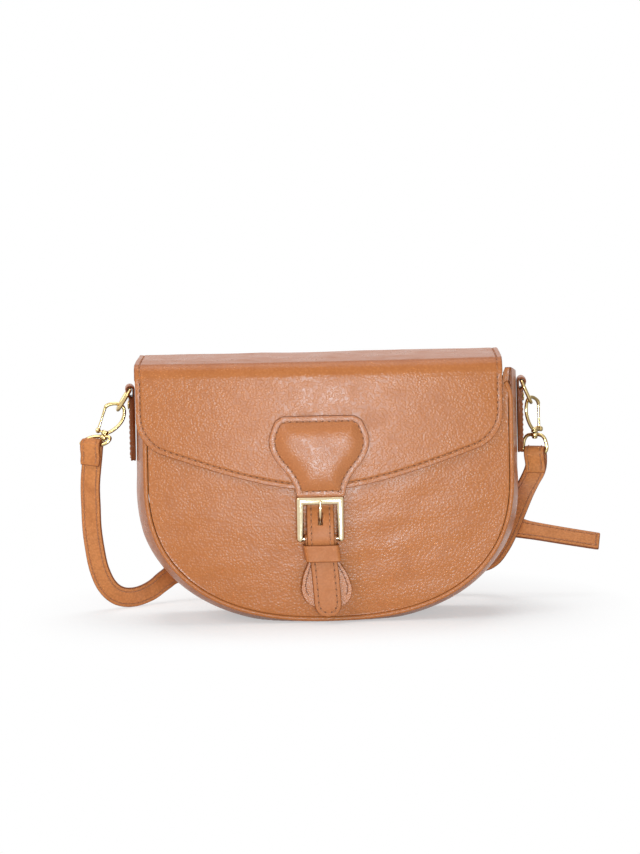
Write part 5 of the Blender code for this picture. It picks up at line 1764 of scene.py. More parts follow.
def frame_bars(
    name: str, path: Array, bars: Array, thickness: float, bevel: float, material: Finish
) -> Piece:
    """An open frame of flat bevelled bars with mitred corners and half-round ends.

    Args:
        name: The piece's name.
        path: Outer corners (x, z) from one end to the other.
        bars: Matching inner corners.
        thickness: The bars' thickness, from y = 0 to -thickness.
        bevel: Width of the front bevels.
        material: Its finish.

    Returns:
        The frame.
    """
    path, bars = np.asarray(path, float), np.asarray(bars, float)
    rows = []
    for end, near in ((0, 1), (-1, -2)):
        middle, half = (path[end] + bars[end]) / 2, (path[end] - bars[end]) / 2
        way = unit(path[end] - path[near]) * np.linalg.norm(half)
        cap = []
        for a in np.radians((85, 70, 50, 30, 12)):
            tip = middle + way * math.sin(a) * 0.8
            cap.append((tip + half * math.cos(a), tip - half * math.cos(a)))
        rows.append(cap)
    levels = rows[0] + list(zip(path, bars)) + rows[1][::-1]
    soft = bevel * 0.35
    points = []
    for outer, inner in levels:
        span = max(np.linalg.norm(outer - inner), 1e-6)
        b, c = min(bevel / span, 0.45), min(soft / span, 0.3)
        section = (
            (0.0, soft), (0.0, thickness - bevel), (b, thickness), (1 - b, thickness),
            (1.0, thickness - bevel), (1.0, soft), (1 - c, 0.0), (c, 0.0)
        )
        points.append(
            [
                ((1 - s) * inner[0] + s * outer[0], -t, (1 - s) * inner[1] + s * outer[1])
                for s, t in section
            ]
        )
    count = 8
    faces = grid_faces(len(levels), count, wrap=True)[:, ::-1].tolist()
    faces += [list(range(count)), list(range(len(levels) * count - 1, (len(levels) - 1) * count - 1, -1))]
    made = make_object(name, np.array(points), faces, material)
    made.data.set_sharp_from_angle(angle=math.radians(25.0))
    return made


def block(name: str, low: Sequence[float], high: Sequence[float]) -> Piece:
    """A plain box between two corners, used as a cutter."""
    corners = np.array(
        [
            [(low, high)[i][0], (low, high)[j][1], (low, high)[k][2]]
            for k in (0, 1)
            for j in (0, 1)
            for i in (0, 1)
        ]
    )
    faces = [(0, 2, 3, 1), (4, 5, 7, 6), (0, 1, 5, 4), (2, 6, 7, 3), (0, 4, 6, 2), (1, 3, 7, 5)]
    return make_object(name, corners, faces, bpy.data.materials.new(name))


def cut_through(piece: Piece, cutter: Piece) -> None:
    """Take a cutter's room out of a piece and remove the cutter."""
    cut = piece.modifiers.new("cut", "BOOLEAN")
    cut.object, cut.solver = cutter, "EXACT"
    bpy.context.view_layer.update()
    solid = bpy.data.meshes.new_from_object(piece.evaluated_get(bpy.context.evaluated_depsgraph_get()))
    piece.modifiers.clear()
    piece.data = solid
    bpy.data.objects.remove(cutter, do_unlink=True)


def rounded_end(
    width: float, start: float, end: float, count: int, power: float
) -> list[tuple[float, float]]:
    """Rows of (height, width) that close a strap end as a superellipse."""
    shares = np.sin(np.linspace(0, math.pi / 2, count + 1)[1:]) * 0.998
    return [(start + (end - start) * s, width * (1 - s**power) ** (1 / power)) for s in shares]


def rounded_loop(half: float, low: float, high: float, radius: float, step: float) -> Array:
    """A rectangle with round corners as (across, out) points.

    Args:
        half: Half its width.
        low: Its lower side.
        high: Its upper side.
        radius: The corners' radius.
        step: Distance between points.

    Returns:
        The closed loop, shape (n, 2).
    """
    points = []
    for quarter, (side, level) in enumerate(
        ((1, high - radius), (-1, high - radius), (-1, low + radius), (1, low + radius))
    ):
        for a in np.linspace(0, math.pi / 2, 7) + quarter * math.pi / 2:
            points.append(
                (side * (half - radius) + radius * math.cos(a), level + radius * math.sin(a), 0.0)
            )
    return even_line(np.array(points), step, True)[:, :2]


@dataclass
class Closure:
    """Tab, tongue, keeper, buckle and prong that hang from the flap and hold the front."""

    wardrobe: Wardrobe
    pivot: tuple[float, float, float] = (-0.0055, -0.0433, 0.081)
    lean_deg: float = 0.7101
    middle: tuple[tuple[float, float], ...] = (
        (0.004, -0.0021),
        (0.012, -0.0023),
        (0.025, -0.0031),
        (0.038, -0.0042),
        (0.045, -0.0053),
        (0.052, -0.0061),
        (0.065, -0.0062),
        (0.081, -0.0060),
        (0.098, -0.0058),
    )
    behind: float = 0.0013
    tongue_width: float = 0.0160
    tongue_thickness: float = 0.0020
    tongue_tip: float = -0.0760
    stitch_inset: float = 0.0022
    layer: float = 0.0012
    neck_width: float = 0.0190
    base_width: float = 0.0310
    base: float = -0.0580
    foot: float = -0.0710
    keeper_height: float = 0.0109
    keeper_foot: float = -0.0412
    keeper_thickness: float = 0.0013
    buckle_width: float = 0.0298
    buckle_height: float = 0.0279
    bar: float = 0.0044
    top_bar: float = 0.0050
    buckle_thickness: float = 0.0028
    bevel: float = 0.0009
    drop: float = 0.0003
    heel_radius: float = 0.0012
    heel_inset: float = 0.0013
    prong_radius: float = 0.0010
    hole: tuple[float, float] = (0.0029, 0.0078)

    @property
    def heel(self) -> float:
        """Height of the heel bar in the closure's own frame."""
        return -(self.drop + self.buckle_height - self.heel_inset)

    @property
    def fold(self) -> float:
        """Radius of the tab's middle round the heel bar."""
        return self.heel_radius + GAP + self.layer / 2

    @property
    def standoffs(self) -> tuple[float, float]:
        """Standoff of the tongue's middle on the tab and over the heel bar."""
        rest = self.layer / 2 + GAP + self.tongue_thickness / 2
        return (GAP + self.layer) / 2 + rest, self.buckle_thickness / 2 + self.fold + rest

    def place(self, points: Array) -> Array:
        """Points of the closure's own frame, turned about X and set on its bent middle line."""
        lean = math.radians(self.lean_deg)
        about_x = np.array(
            [[1, 0, 0], [0, math.cos(lean), -math.sin(lean)], [0, math.sin(lean), math.cos(lean)]]
        )
        placed = points @ about_x.T + (0.0, self.pivot[1], self.pivot[2])
        curve = smooth_line([(x, 0.0, z) for z, x in self.middle], 0.0004)
        placed[:, 0] += np.interp(placed[:, 2], curve[:, 2], curve[:, 0])
        return placed

    def settle(self, piece: Piece) -> Piece:
        """A piece made in the closure's own frame, put in its place in the world."""
        return moved(piece, self.place(places_of(piece)))

    def belt(
        self, rows: Sequence[tuple[float, float, float]], step: float = 0.0007
    ) -> tuple[Array, Array, Array]:
        """Centre line, width direction and widths of a belt through rows of (height, standoff, width)."""
        table = np.array([(0.0, -(w + self.behind), v, wide) for v, w, wide in rows])
        line = curve(table, step / 3, step)
        across = every((1.0, 0.0, 0.0), len(line))
        return line[:, :3], across, line[:, 3]

    def tab_rows(self, front: float) -> list[tuple[float, float, float]]:
        """The round base and neck shared by both layers, at a standoff."""
        rows = [
            (v, front, w) for v, w in rounded_end(self.base_width, self.base, self.foot, 12, 2.4)[::-1]
        ]
        rows += [
            (self.base, front, self.base_width),
            ((self.base + self.keeper_foot) / 2, front, self.base_width * 0.86)
        ]
        rows += [(self.keeper_foot + shift, front, self.neck_width) for shift in (-3 * GAP, 3 * GAP)]
        return rows

    def tab(self) -> list[Piece]:
        """The tab that folds round the heel bar, its back layer and the stitches down its base."""
        heel, heel_w = self.heel, self.buckle_thickness / 2
        fold = self.fold
        front = (GAP + self.layer) / 2
        rows = self.tab_rows(front) + [
            (self.keeper_foot + self.keeper_height / 2, front * 1.5, self.neck_width)
        ]
        for a in np.radians((10, 30, 50, 70, 90, 105, 120, 135, 150)):
            rows.append((heel + fold * math.sin(a), heel_w + fold * math.cos(a), self.neck_width))
        rows += [
            (heel - fold * 1.4, -front * 1.1, self.neck_width),
            (heel - self.keeper_height, -front, self.neck_width)
        ]
        line, across, widths = self.belt(rows)
        upper = strap_plate("tab_front", line, -across, widths, self.layer, self.wardrobe.patch)
        slot = self.prong_radius * 1.2 + GAP
        foot = heel - self.heel_radius - self.prong_radius - 3 * GAP
        middle = -(heel_w + self.behind)
        cut_through(
            upper,
            block(
                "tab_slot", (-slot, middle - fold * 2, foot), (slot, middle + fold * 2, heel + fold * 2)
            )
        )
        line, across, widths = self.belt(
            self.tab_rows(-front) + [(heel - self.keeper_height - GAP, -front, self.neck_width)]
        )
        under = strap_plate("tab_back", line, -across, widths, self.layer, self.wardrobe.patch)
        pieces = [upper, under]
        between = (self.base + self.keeper_foot) / 2 - 0.001
        levels = [(self.neck_width / 2 * 0.76, self.keeper_foot + 0.0005), (self.base_width * 0.37, between)]
        levels += [(self.base_width * 0.425, self.base), (self.base_width * 0.36, self.base - 0.0060)]
        # Dark thread and dark holes: partly painted shade of the stitches sunk into the tab's base.
        finishes = self.wardrobe.dark_thread, self.wardrobe.hole_shade
        for side in (-1, 1):
            seam = curve([(side * reach, 0.0, z) for reach, z in levels], 0.0005, 0.0005)
            seam[:, 1] = -(front + self.layer / 2 + self.behind) + 0.00005
            out = every((0.0, -1.0, 0.0), len(seam))
            pieces.append(sewn(f"tab_thread_{side}", seam, out, *finishes))
        return pieces

    def tongue(self) -> list[Piece]:
        """The tongue from under the flap, over the heel bar and through the keeper to its round tip."""
        heel = self.heel
        wide, half = self.tongue_width, self.tongue_thickness / 2
        low, high = self.standoffs
        under = -(GAP + half)
        start = self.tongue_tip + wide * 0.55
        rows = [(v, low, w) for v, w in rounded_end(wide, start, self.tongue_tip, 14, 2.2)[::-1]]
        rows += [(start, low, wide), (self.base, low, wide), (self.keeper_foot, low * 1.03, wide)]
        rows += [(heel - self.keeper_height * 0.5, (low + high) / 2, wide), (heel, high, wide)]
        rows += [
            (heel * 0.79, high * 0.94, wide), (heel * 0.57, high * 0.66, wide),
            (heel * 0.40, high * 0.20, wide)
        ]
        rows += [(heel * share, under, wide) for share in (0.26, 0.12, 0.0)]
        line, across, widths = self.belt(rows)
        belt = strap_plate(
            "tongue_leather", line, -across, widths, self.tongue_thickness, self.wardrobe.tongue,
            self.stitch_inset, 0.00025
        )
        hole_w, hole_l = self.hole
        middle = heel * 0.52
        opening = block(
            "tongue_hole", (-hole_w / 2, -high - self.behind - 0.004, middle - hole_l / 2),
            (hole_w / 2, 0.004, middle + hole_l / 2)
        )
        cut_through(belt, opening)
        seam, out = edge_line(line, -across, widths, self.stitch_inset, 0.00008 - half)
        thread, hole = self.wardrobe.thread, self.wardrobe.hole_shade
        return [belt, sewn("tongue_thread", seam, -out, thread, hole, 0.0040, 0.00036)]

    def keeper(self) -> Piece:
        """The plain band that holds the tongue to the tab."""
        low, high = self.standoffs
        back = -(self.fold - self.buckle_thickness / 2 + self.layer / 2) - GAP - self.keeper_thickness / 2
        face = (low + high) / 2 + self.tongue_thickness / 2 + GAP * 2 + self.keeper_thickness / 2
        half = self.neck_width / 2 + GAP + self.keeper_thickness / 2
        loop = rounded_loop(half, back, face, self.keeper_thickness * 1.2, 0.0005)
        bow = 0.00025 * (1 - (loop[:, 0] / half) ** 2) * (loop[:, 1] > 0)
        level = self.keeper_foot + self.keeper_height / 2
        line = points_of(loop[:, 0], -(loop[:, 1] + bow + self.behind), 0 * bow + level)
        return loop_band(
            "keeper_band", line, (0.0, 0.0, 1.0), self.keeper_height, self.keeper_thickness,
            self.wardrobe.tongue
        )

    def frame(self) -> Piece:
        """The square frame, open below, with the round heel bar between its ends."""
        half, top, foot = self.buckle_width / 2, -self.drop, self.heel
        inner = half - self.bar
        outer_path = square_path(half, top, foot, CORNER_CUT)
        inner_path = square_path(inner, top - self.top_bar, foot, 0.0)
        bars = frame_bars(
            "bars", outer_path, inner_path, self.buckle_thickness, self.bevel, self.wardrobe.pale_gold
        )
        for vertex in bars.data.vertices:
            vertex.co.y -= self.behind
        reach = half - self.bar / 2
        y = -(self.behind + self.buckle_thickness / 2)
        ends = np.linspace((-reach, y, foot), (reach, y, foot), 30)
        heel = tube("heel", ends, self.heel_radius, self.wardrobe.pale_gold, (0.0, 0.0, 1.0), sides=20)
        return join("buckle", [bars, heel])

    def prong(self) -> Piece:
        """The prong: a pin that narrows to its tip, with an eye round the heel bar."""
        heel, heel_w = self.heel, self.buckle_thickness / 2
        rest = self.buckle_thickness + GAP + self.prong_radius
        eye = heel + self.heel_radius + GAP + self.prong_radius / 2
        rows = [
            (eye, heel_w), (heel * 0.72, heel_w * 1.0), (heel * 0.58, heel_w * 1.4),
            (heel * 0.46, heel_w * 2.4), (heel * 0.33, rest * 1.04), (heel * 0.20, rest),
            (-self.drop - self.top_bar * 0.45, rest)
        ]
        line = curve([(0.0, -(w + self.behind), v) for v, w in rows], 0.0002, 0.0005)
        share = np.linspace(0, 1, len(line))
        radius = self.prong_radius * (1 - 0.12 * share - 0.25 * held((share - 0.93) / 0.07) ** 2)
        pin = tube("pin", line, radius, self.wardrobe.pale_gold, (1.0, 0.0, 0.0), sides=20)
        bore = self.heel_radius + GAP
        a = np.linspace(0, 2 * math.pi, 37)[:-1]
        reach = bore + self.prong_radius * 0.55
        ring = points_of(0 * a, -(heel_w + self.behind) + reach * np.cos(a), heel + reach * np.sin(a))
        loop = tube(
            "eye", ring, self.prong_radius * 0.5, self.wardrobe.pale_gold, (1.0, 0.0, 0.0), True, 14
        )
        return join("prong", [pin, loop])

    def build(self) -> None:
        """Make, settle and dress the closure's pieces."""
        front, back, left, right = (self.settle(piece) for piece in self.tab())
        dress(front, "closure", "patch_leather", "closure_tab")
        dress(back, "closure", "patch_leather", "closure_tab_back")
        dress(join("tab_thread", [left, right]), "closure", "strap_leather")
        belt, thread = (self.settle(piece) for piece in self.tongue())
        dress(belt, "closure", "strap_leather", "tongue")
        dress(thread, "closure", "strap_leather")
        dress(self.settle(self.keeper()), "closure", "strap_leather", "closure_keeper")
        dress(self.settle(self.frame()), "closure", "pale_gold", "buckle_frame")
        dress(self.settle(self.prong()), "closure_prong", "pale_gold", "buckle_prong")


def d_loop(half: float, depth: float) -> Array:
    """A D as (across, down) points: a straight bar at zero and a full curve below it, softly joined.

    Args:
        half: Half the bar's width.
        depth: How far the curve reaches down.

    Returns:
        The closed loop, evenly spaced.
    """
    a = np.linspace(math.radians(10), math.radians(170), 61)
    reach = np.sign(np.cos(a)) * np.abs(np.cos(a)) ** 0.5
    curve = points_of(half * reach, depth * np.sin(a) ** 0.85, 0 * a)
    bar = points_of(np.linspace(-half * 0.88, half * 0.88, 21), 0.0, 0.0)
    loop = even_line(np.concatenate([curve, bar]), 0.0004, True)
    for _ in range(3):
        loop = (np.roll(loop, 1, axis=0) + 2 * loop + np.roll(loop, -1, axis=0)) / 4
    return loop[:, :2]


@dataclass
class Hook:
    """A snap hook: its collar's foot, axis and bow side, and the wire sizes that it is made from."""

    wardrobe: Wardrobe
    name: str
    seat: Array
    axis: Array
    side: Array
    swivel_yaw_deg: float
    swivel_lean_deg: float = 0.0
    bow_wire: float = 0.0022
    bow_height: float = 0.0214
    bow_width: float = 0.0128
    ring_seat: float = 0.018
    ring_offset: float = 0.0028
    collar_radius: float = 0.0023
    collar_height: float = 0.0030
    stem_radius: float = 0.0010
    stem_head_radius: float = 0.0018
    stem_head: float = 0.0010
    gate_width: float = 0.0018
    gate_eye: float = 0.0016
    gate_pin: float = 0.0007
    cheek: float = 0.0010
    swivel_width: float = 0.0157
    swivel_drop: float = 0.0098
    swivel_wire: float = 0.0023
    boss_radius: float = 0.0025
    boss_height: float = 0.0026
    bow_shares: tuple[tuple[float, float], ...] = (
        (0.06, 0.05),
        (0.30, 0.19),
        (0.50, 0.38),
        (0.61, 0.58),
        (0.60, 0.77),
        (0.49, 0.93),
        (0.30, 1.00),
        (0.06, 0.99),
        (-0.18, 0.93),
        (-0.33, 0.86),
        (-0.39, 0.79),
    )
    gate_foot: tuple[float, float] = (-0.36, 0.07)
    gate_tip: tuple[float, float] = (-0.39, 0.76)

    def __post_init__(self) -> None:
        """Square the bow's side to the axis and find the collar's foot under the ring."""
        self.axis = unit(np.asarray(self.axis, float))
        side = np.asarray(self.side, float)
        self.side = unit(side - self.axis * side.dot(self.axis))
        self.normal = np.cross(self.axis, self.side)
        self.foot = self.seat - self.axis * self.ring_seat - self.side * self.ring_offset

    def at(self, toward: float, up: float, out: float = 0.0) -> Array:
        """A point by its distances towards the bag, up the axis and out of the bow's plane."""
        return self.foot + self.side * toward + self.axis * up + self.normal * out

    def bow(self) -> Piece:
        """The hook itself: bow, collar, swivelling stem, cheeks and pin."""
        gold = self.wardrobe.hook_gold
        rows = [self.at(a * self.bow_width, b * self.bow_height) for a, b in self.bow_shares]
        line = curve(rows, 0.0002, 0.0005)
        share = np.linspace(0, 1, len(line))
        radius = self.bow_wire / 2 * (1 + 0.10 * np.exp(-(((share - 0.97) / 0.05) ** 2)))
        radius = np.minimum(radius, self.bow_wire * 0.56)
        pieces = [tube("bow", line, radius, gold, self.normal, sides=22)]
        r, h = self.collar_radius, self.collar_height
        profile = [
            (0.0, 0.0), (r * 0.80, 0.0), (r, h * 0.12), (r, h * 0.30), (r * 0.86, h * 0.38),
            (r * 0.86, h * 0.5), (r, h * 0.58), (r, h * 0.80), (r * 0.82, h * 0.97), (r * 0.4, h),
            (0.0, h)
        ]
        pieces.append(turned("collar", self.foot, self.axis, profile, gold))
        drop = GAP + self.boss_height + GAP
        stem = [
            (0.0, -drop - self.stem_head), (self.stem_head_radius * 0.7, -drop - self.stem_head),
            (self.stem_head_radius, -drop - self.stem_head * 0.6), (self.stem_head_radius, -drop),
            (self.stem_radius, -drop), (self.stem_radius, h * 0.5), (0.0, h * 0.5)
        ]
        pieces.append(turned("stem", self.foot, self.axis, stem, gold))
        across, up = self.gate_foot[0] * self.bow_width, self.gate_foot[1] * self.bow_height
        half = self.gate_width / 2
        for way in (-1, 1):
            r, t = self.gate_eye, self.cheek
            profile = [
                (0.0, 0.0), (r, 0.0), (r, t * 0.7), (r * 0.85, t), (self.gate_pin, t),
                (self.gate_pin, t * 1.12), (0.0, t * 1.18)
            ]
            foot = self.at(across, up, way * (half + GAP))
            pieces.append(turned("cheek", foot, self.normal * way, profile, gold, 20))
            out = way * (half + GAP + t / 2)
            ends = np.linspace(self.at(across, up, out), self.at(0.0, up, out * 0.9), 8)
            pieces.append(tube("arm", ends, t / 2, gold, self.axis, sides=10))
        reach = half + GAP + self.cheek / 2
        pin = np.linspace(self.at(across, up, -reach), self.at(across, up, reach), 6)
        pieces.append(tube("pin", pin, self.gate_pin, gold, self.axis, sides=12))
        return join(f"hook_{self.name}_metal", pieces)

    def gate(self) -> Piece:
        """The sprung gate: a slim lever with an eye round its pin."""
        gold = self.wardrobe.hook_gold
        root = self.at(self.gate_foot[0] * self.bow_width, self.gate_foot[1] * self.bow_height)
        tip = self.at(self.gate_tip[0] * self.bow_width, self.gate_tip[1] * self.bow_height)
        way = unit(tip - root)
        line = np.linspace(root + way * self.gate_eye * 0.9, tip, 30)
        share = np.linspace(0, 1, 30)
        radius = self.gate_width / 2 * (1 - 0.22 * np.sin(share * math.pi) ** 2)
        lever = tube("lever", line, radius, gold, self.normal, sides=18)
        half, r = self.gate_width / 2, self.gate_eye
        bore = self.gate_pin + GAP / 2
        a = np.linspace(0, 2 * math.pi, 33)[:-1]
        ring = root + np.outer(np.cos(a), self.axis) * (bore + r) / 2
        ring = ring + np.outer(np.sin(a), self.side) * (bore + r) / 2
        eye = loop_band("eye", ring, self.normal, half * 2, r - bore, gold)
        return join(f"gate_{self.name}_metal", [lever, eye])

    def swivel(self) -> tuple[Piece, Array, Array]:
        """The swivel loop with its boss.

        Returns:
            The loop, the middle of its bar and the bar's direction.
        """
        gold = self.wardrobe.hook_gold
        yaw = math.radians(self.swivel_yaw_deg)
        across = np.array((math.cos(yaw), -math.sin(yaw), 0.0))
        lean = math.radians(self.swivel_lean_deg)
        up = unit(self.axis + np.array((math.tan(lean), 0.0, 0.0)))
        bar = self.foot - up * self.swivel_drop
        loop = d_loop(self.swivel_width / 2, self.swivel_drop - GAP - self.boss_height / 2)
        points = bar + np.outer(loop[:, 0], across) + np.outer(loop[:, 1], up)
        wire = tube("wire", points, self.swivel_wire / 2, gold, np.cross(up, across), True, 20)
        r, h, bore = self.boss_radius, self.boss_height, self.stem_radius + GAP
        profile = [(bore, 0.0), (r * 0.88, 0.0), (r, h * 0.12), (r, h * 0.88), (r * 0.88, h), (bore, h)]
        boss = ring_of("boss", self.at(0.0, -GAP - h), self.axis, profile, gold)
        return join(f"swivel_{self.name}_metal", [wire, boss]), bar, across

    def build(self) -> tuple[Array, Array, Array]:
        """Make and dress hook, gate and swivel; returns the bar and the strap's directions up and across."""
        dress(self.bow(), f"hook_{self.name}", "hook_gold", f"hook_{self.name}")
        dress(self.gate(), f"gate_{self.name}", "hook_gold", f"gate_{self.name}")
        loop, bar, across = self.swivel()
        dress(loop, "bag", "hook_gold", f"swivel_{self.name}")
        return bar, unit(self.axis * 0.3 + np.array((0.0, 0.0, 0.7))), across


def ring_of(
    name: str, foot: Array, axis: Array, profile: Sequence[tuple[float, float]], material: Finish
) -> Piece:
    """A turned ring: a closed (radius, height) profile carried round an axis.

    Args:
        name: The piece's name.
        foot: Where height is zero.
        axis: Direction of height.
        profile: The closed section, from its lower inner point outwards.
        material: Its finish.

    Returns:
        The ring.
    """
    axis = unit(axis)
    section = np.array(profile)
    ring = spokes(axis, TURNED_SIDES)
    points = foot + ring[:, None] * section[None, :, :1] + axis * section[None, :, 1:]
    faces = grid_faces(TURNED_SIDES, len(section), wrap_rows=True, wrap=True)
    made = make_object(name, points, faces, material)
    made.data.set_sharp_from_angle(angle=math.radians(40.0))
    return made


@dataclass
class Hardware:
    """Side tabs with rivets, D-rings, snap hooks and swivels on both sides."""

    wardrobe: Wardrobe
    ends: dict[str, tuple[Array, Array, Array]] = field(default_factory=dict)
    gusset_side: float = 0.1199
    tab_width: float = 0.013
    tab_thickness: float = 0.0016
    tab_foot: float = 0.101
    stitch_inset: float = 0.0018
    bar_height: float = 0.146
    ring_width: float = 0.018
    ring_depth: float = 0.015
    ring_wire: float = 0.0023
    rivet_radius: float = 0.0028
    rivet_head: float = 0.0010
    rivet_drop: float = 0.010

    @property
    def eye(self) -> float:
        """Radius of the fold round the ring's bar."""
        return self.ring_wire / 2 + GAP + self.tab_thickness / 2

    def tab(self, name: str, side: int) -> list[Piece]:
        """A leather tab folded over the ring's bar, and its stitching.

        Args:
            name: left or right.
            side: -1 or 1.

        Returns:
            The tab and its thread.
        """
        inner = GAP + self.tab_thickness / 2
        outer = inner + self.tab_thickness + GAP
        rise = self.bar_height - self.tab_foot
        taper = ((0.0, 0.24), (0.05, 0.42), (0.30, 0.60), (0.55, 0.94))
        rows = [(inner, self.tab_foot + rise * share, wide) for share, wide in taper]
        top, eye = self.bar_height, self.eye
        rows += [(inner, top - eye * 2, 1.0), (inner, top - eye * 0.5, 1.0)]
        for a in np.radians((180, 157, 135, 112, 90, 68, 45, 22, 0)):
            rows.append((inner + eye * (1 + math.cos(a)), top + eye * math.sin(a), 1.0))
        rows += [(outer + self.tab_thickness, top - eye * 1.5, 1.0), (outer, top - eye * 3, 1.0)]
        rows += [(outer, self.tab_foot + rise * share, wide) for share, wide in taper[::-1]]
        table = np.array(
            [(side * (self.gusset_side + o), 0.0, z, w * self.tab_width) for o, z, w in rows]
        )
        line = curve(table, 0.0003, 0.0009)
        across = (0.0, -float(side), 0.0)
        piece = strap_plate(
            f"tab_{name}_leather", line[:, :3], every(across, len(line)), line[:, 3], self.tab_thickness,
            self.wardrobe.body, self.stitch_inset, 0.0002
        )
        shares = ((0.02, 0.3), (0.3, 0.58), (0.55, 0.92))
        levels = [(self.tab_foot + rise * share, wide) for share, wide in shares]
        levels.append((self.bar_height - self.eye * 2.2, 0.97))
        out = side * (self.gusset_side + (inner + outer) / 2)
        core = curve([(out, 0.0, z, w * self.tab_width) for z, w in levels], 0.0003, 0.0009)
        glued = strap_plate(
            "tab_core", core[:, :3], every(across, len(core)), core[:, 3], self.tab_thickness * 1.5,
            self.wardrobe.body
        )
        piece = join(f"tab_{name}_leather", [piece, glued])
        far = line[len(line) * 58 // 100 :]
        seam, out = edge_line(
            far[:, :3], every(across, len(far)), far[:, 3], self.stitch_inset, self.tab_thickness / 2
        )
        holes = self.wardrobe.hole_shade
        return [
            piece, sewn(f"tab_{name}_stitching", seam, out, self.wardrobe.thread, holes, 0.0034, 0.00034)
        ]

    def rivet(self, name: str, side: int) -> Piece:
        """The domed rivet that clamps a tab below its ring."""
        skin = GAP + self.tab_thickness * 2 + 2 * GAP
        foot = np.array((side * (self.gusset_side + skin), 0.0, self.bar_height - self.rivet_drop))
        r, h = self.rivet_radius, self.rivet_head
        profile = [
            (0.0, -self.tab_thickness), (0.0010, -self.tab_thickness), (0.0010, 0.0), (r, 0.0),
            (r, h * 0.35), (r * 0.92, h * 0.70), (r * 0.6, h * 0.93), (0.0, h)
        ]
        return turned(
            f"rivet_{name}_metal", foot, np.array((float(side), 0.0, 0.0)), profile,
            self.wardrobe.hook_gold
        )

    def ring(self, name: str, side: int, lean_deg: float) -> Array:
        """Make and dress a D-ring; returns the lowest point of its curve."""
        lean = math.radians(lean_deg)
        out = GAP + self.tab_thickness / 2 + self.eye
        bar = np.array((side * (self.gusset_side + out), 0.0, self.bar_height))
        hang = np.array((side * math.sin(lean), 0.0, -math.cos(lean)))
        loop = d_loop(self.ring_width / 2, self.ring_depth)
        points = bar + np.outer(loop[:, 0], (0.0, 1.0, 0.0)) + np.outer(loop[:, 1], hang)
        wire = tube(
            f"ring_{name}_metal", points, self.ring_wire / 2, self.wardrobe.hook_gold,
            np.cross(hang, (0.0, 1.0, 0.0)), True, 22
        )
        dress(wire, f"ring_{name}", "hook_gold", f"ring_{name}")
        return bar + hang * self.ring_depth

    def build(self) -> None:
        """Make and dress both sides; keeps where the straps' ends hang."""
        settings = (
            ("left", -1, 32.0, 20.0, 0.0, 25.0, {"swivel_lean_deg": 44.0, "swivel_width": 0.0172}),
            (
                "right", 1, 23.0, -1.0, 50.0, 20.0,
                {"ring_seat": 0.0193, "bow_height": 0.0223, "swivel_drop": 0.0125}
            ),
        )
        for name, side, ring_lean, hook_lean, hook_yaw, swivel_yaw, sizes in settings:
            piece, thread = self.tab(name, side)
            dress(piece, "bag", "leather", f"side_tab_{name}")
            dress(thread, "bag", "strap_leather")
            dress(self.rivet(name, side), "bag", "hook_gold", f"tab_rivet_{name}")
            seat = self.ring(name, side, ring_lean)
            lean, yaw = math.radians(hook_lean), math.radians(hook_yaw)
            axis = np.array((math.sin(lean), 0.0, math.cos(lean)))
            toward = np.array((-side * math.cos(yaw), -math.sin(yaw), 0.0))
            self.ends[name] = Hook(self.wardrobe, name, seat, axis, toward, swivel_yaw, **sizes).build()


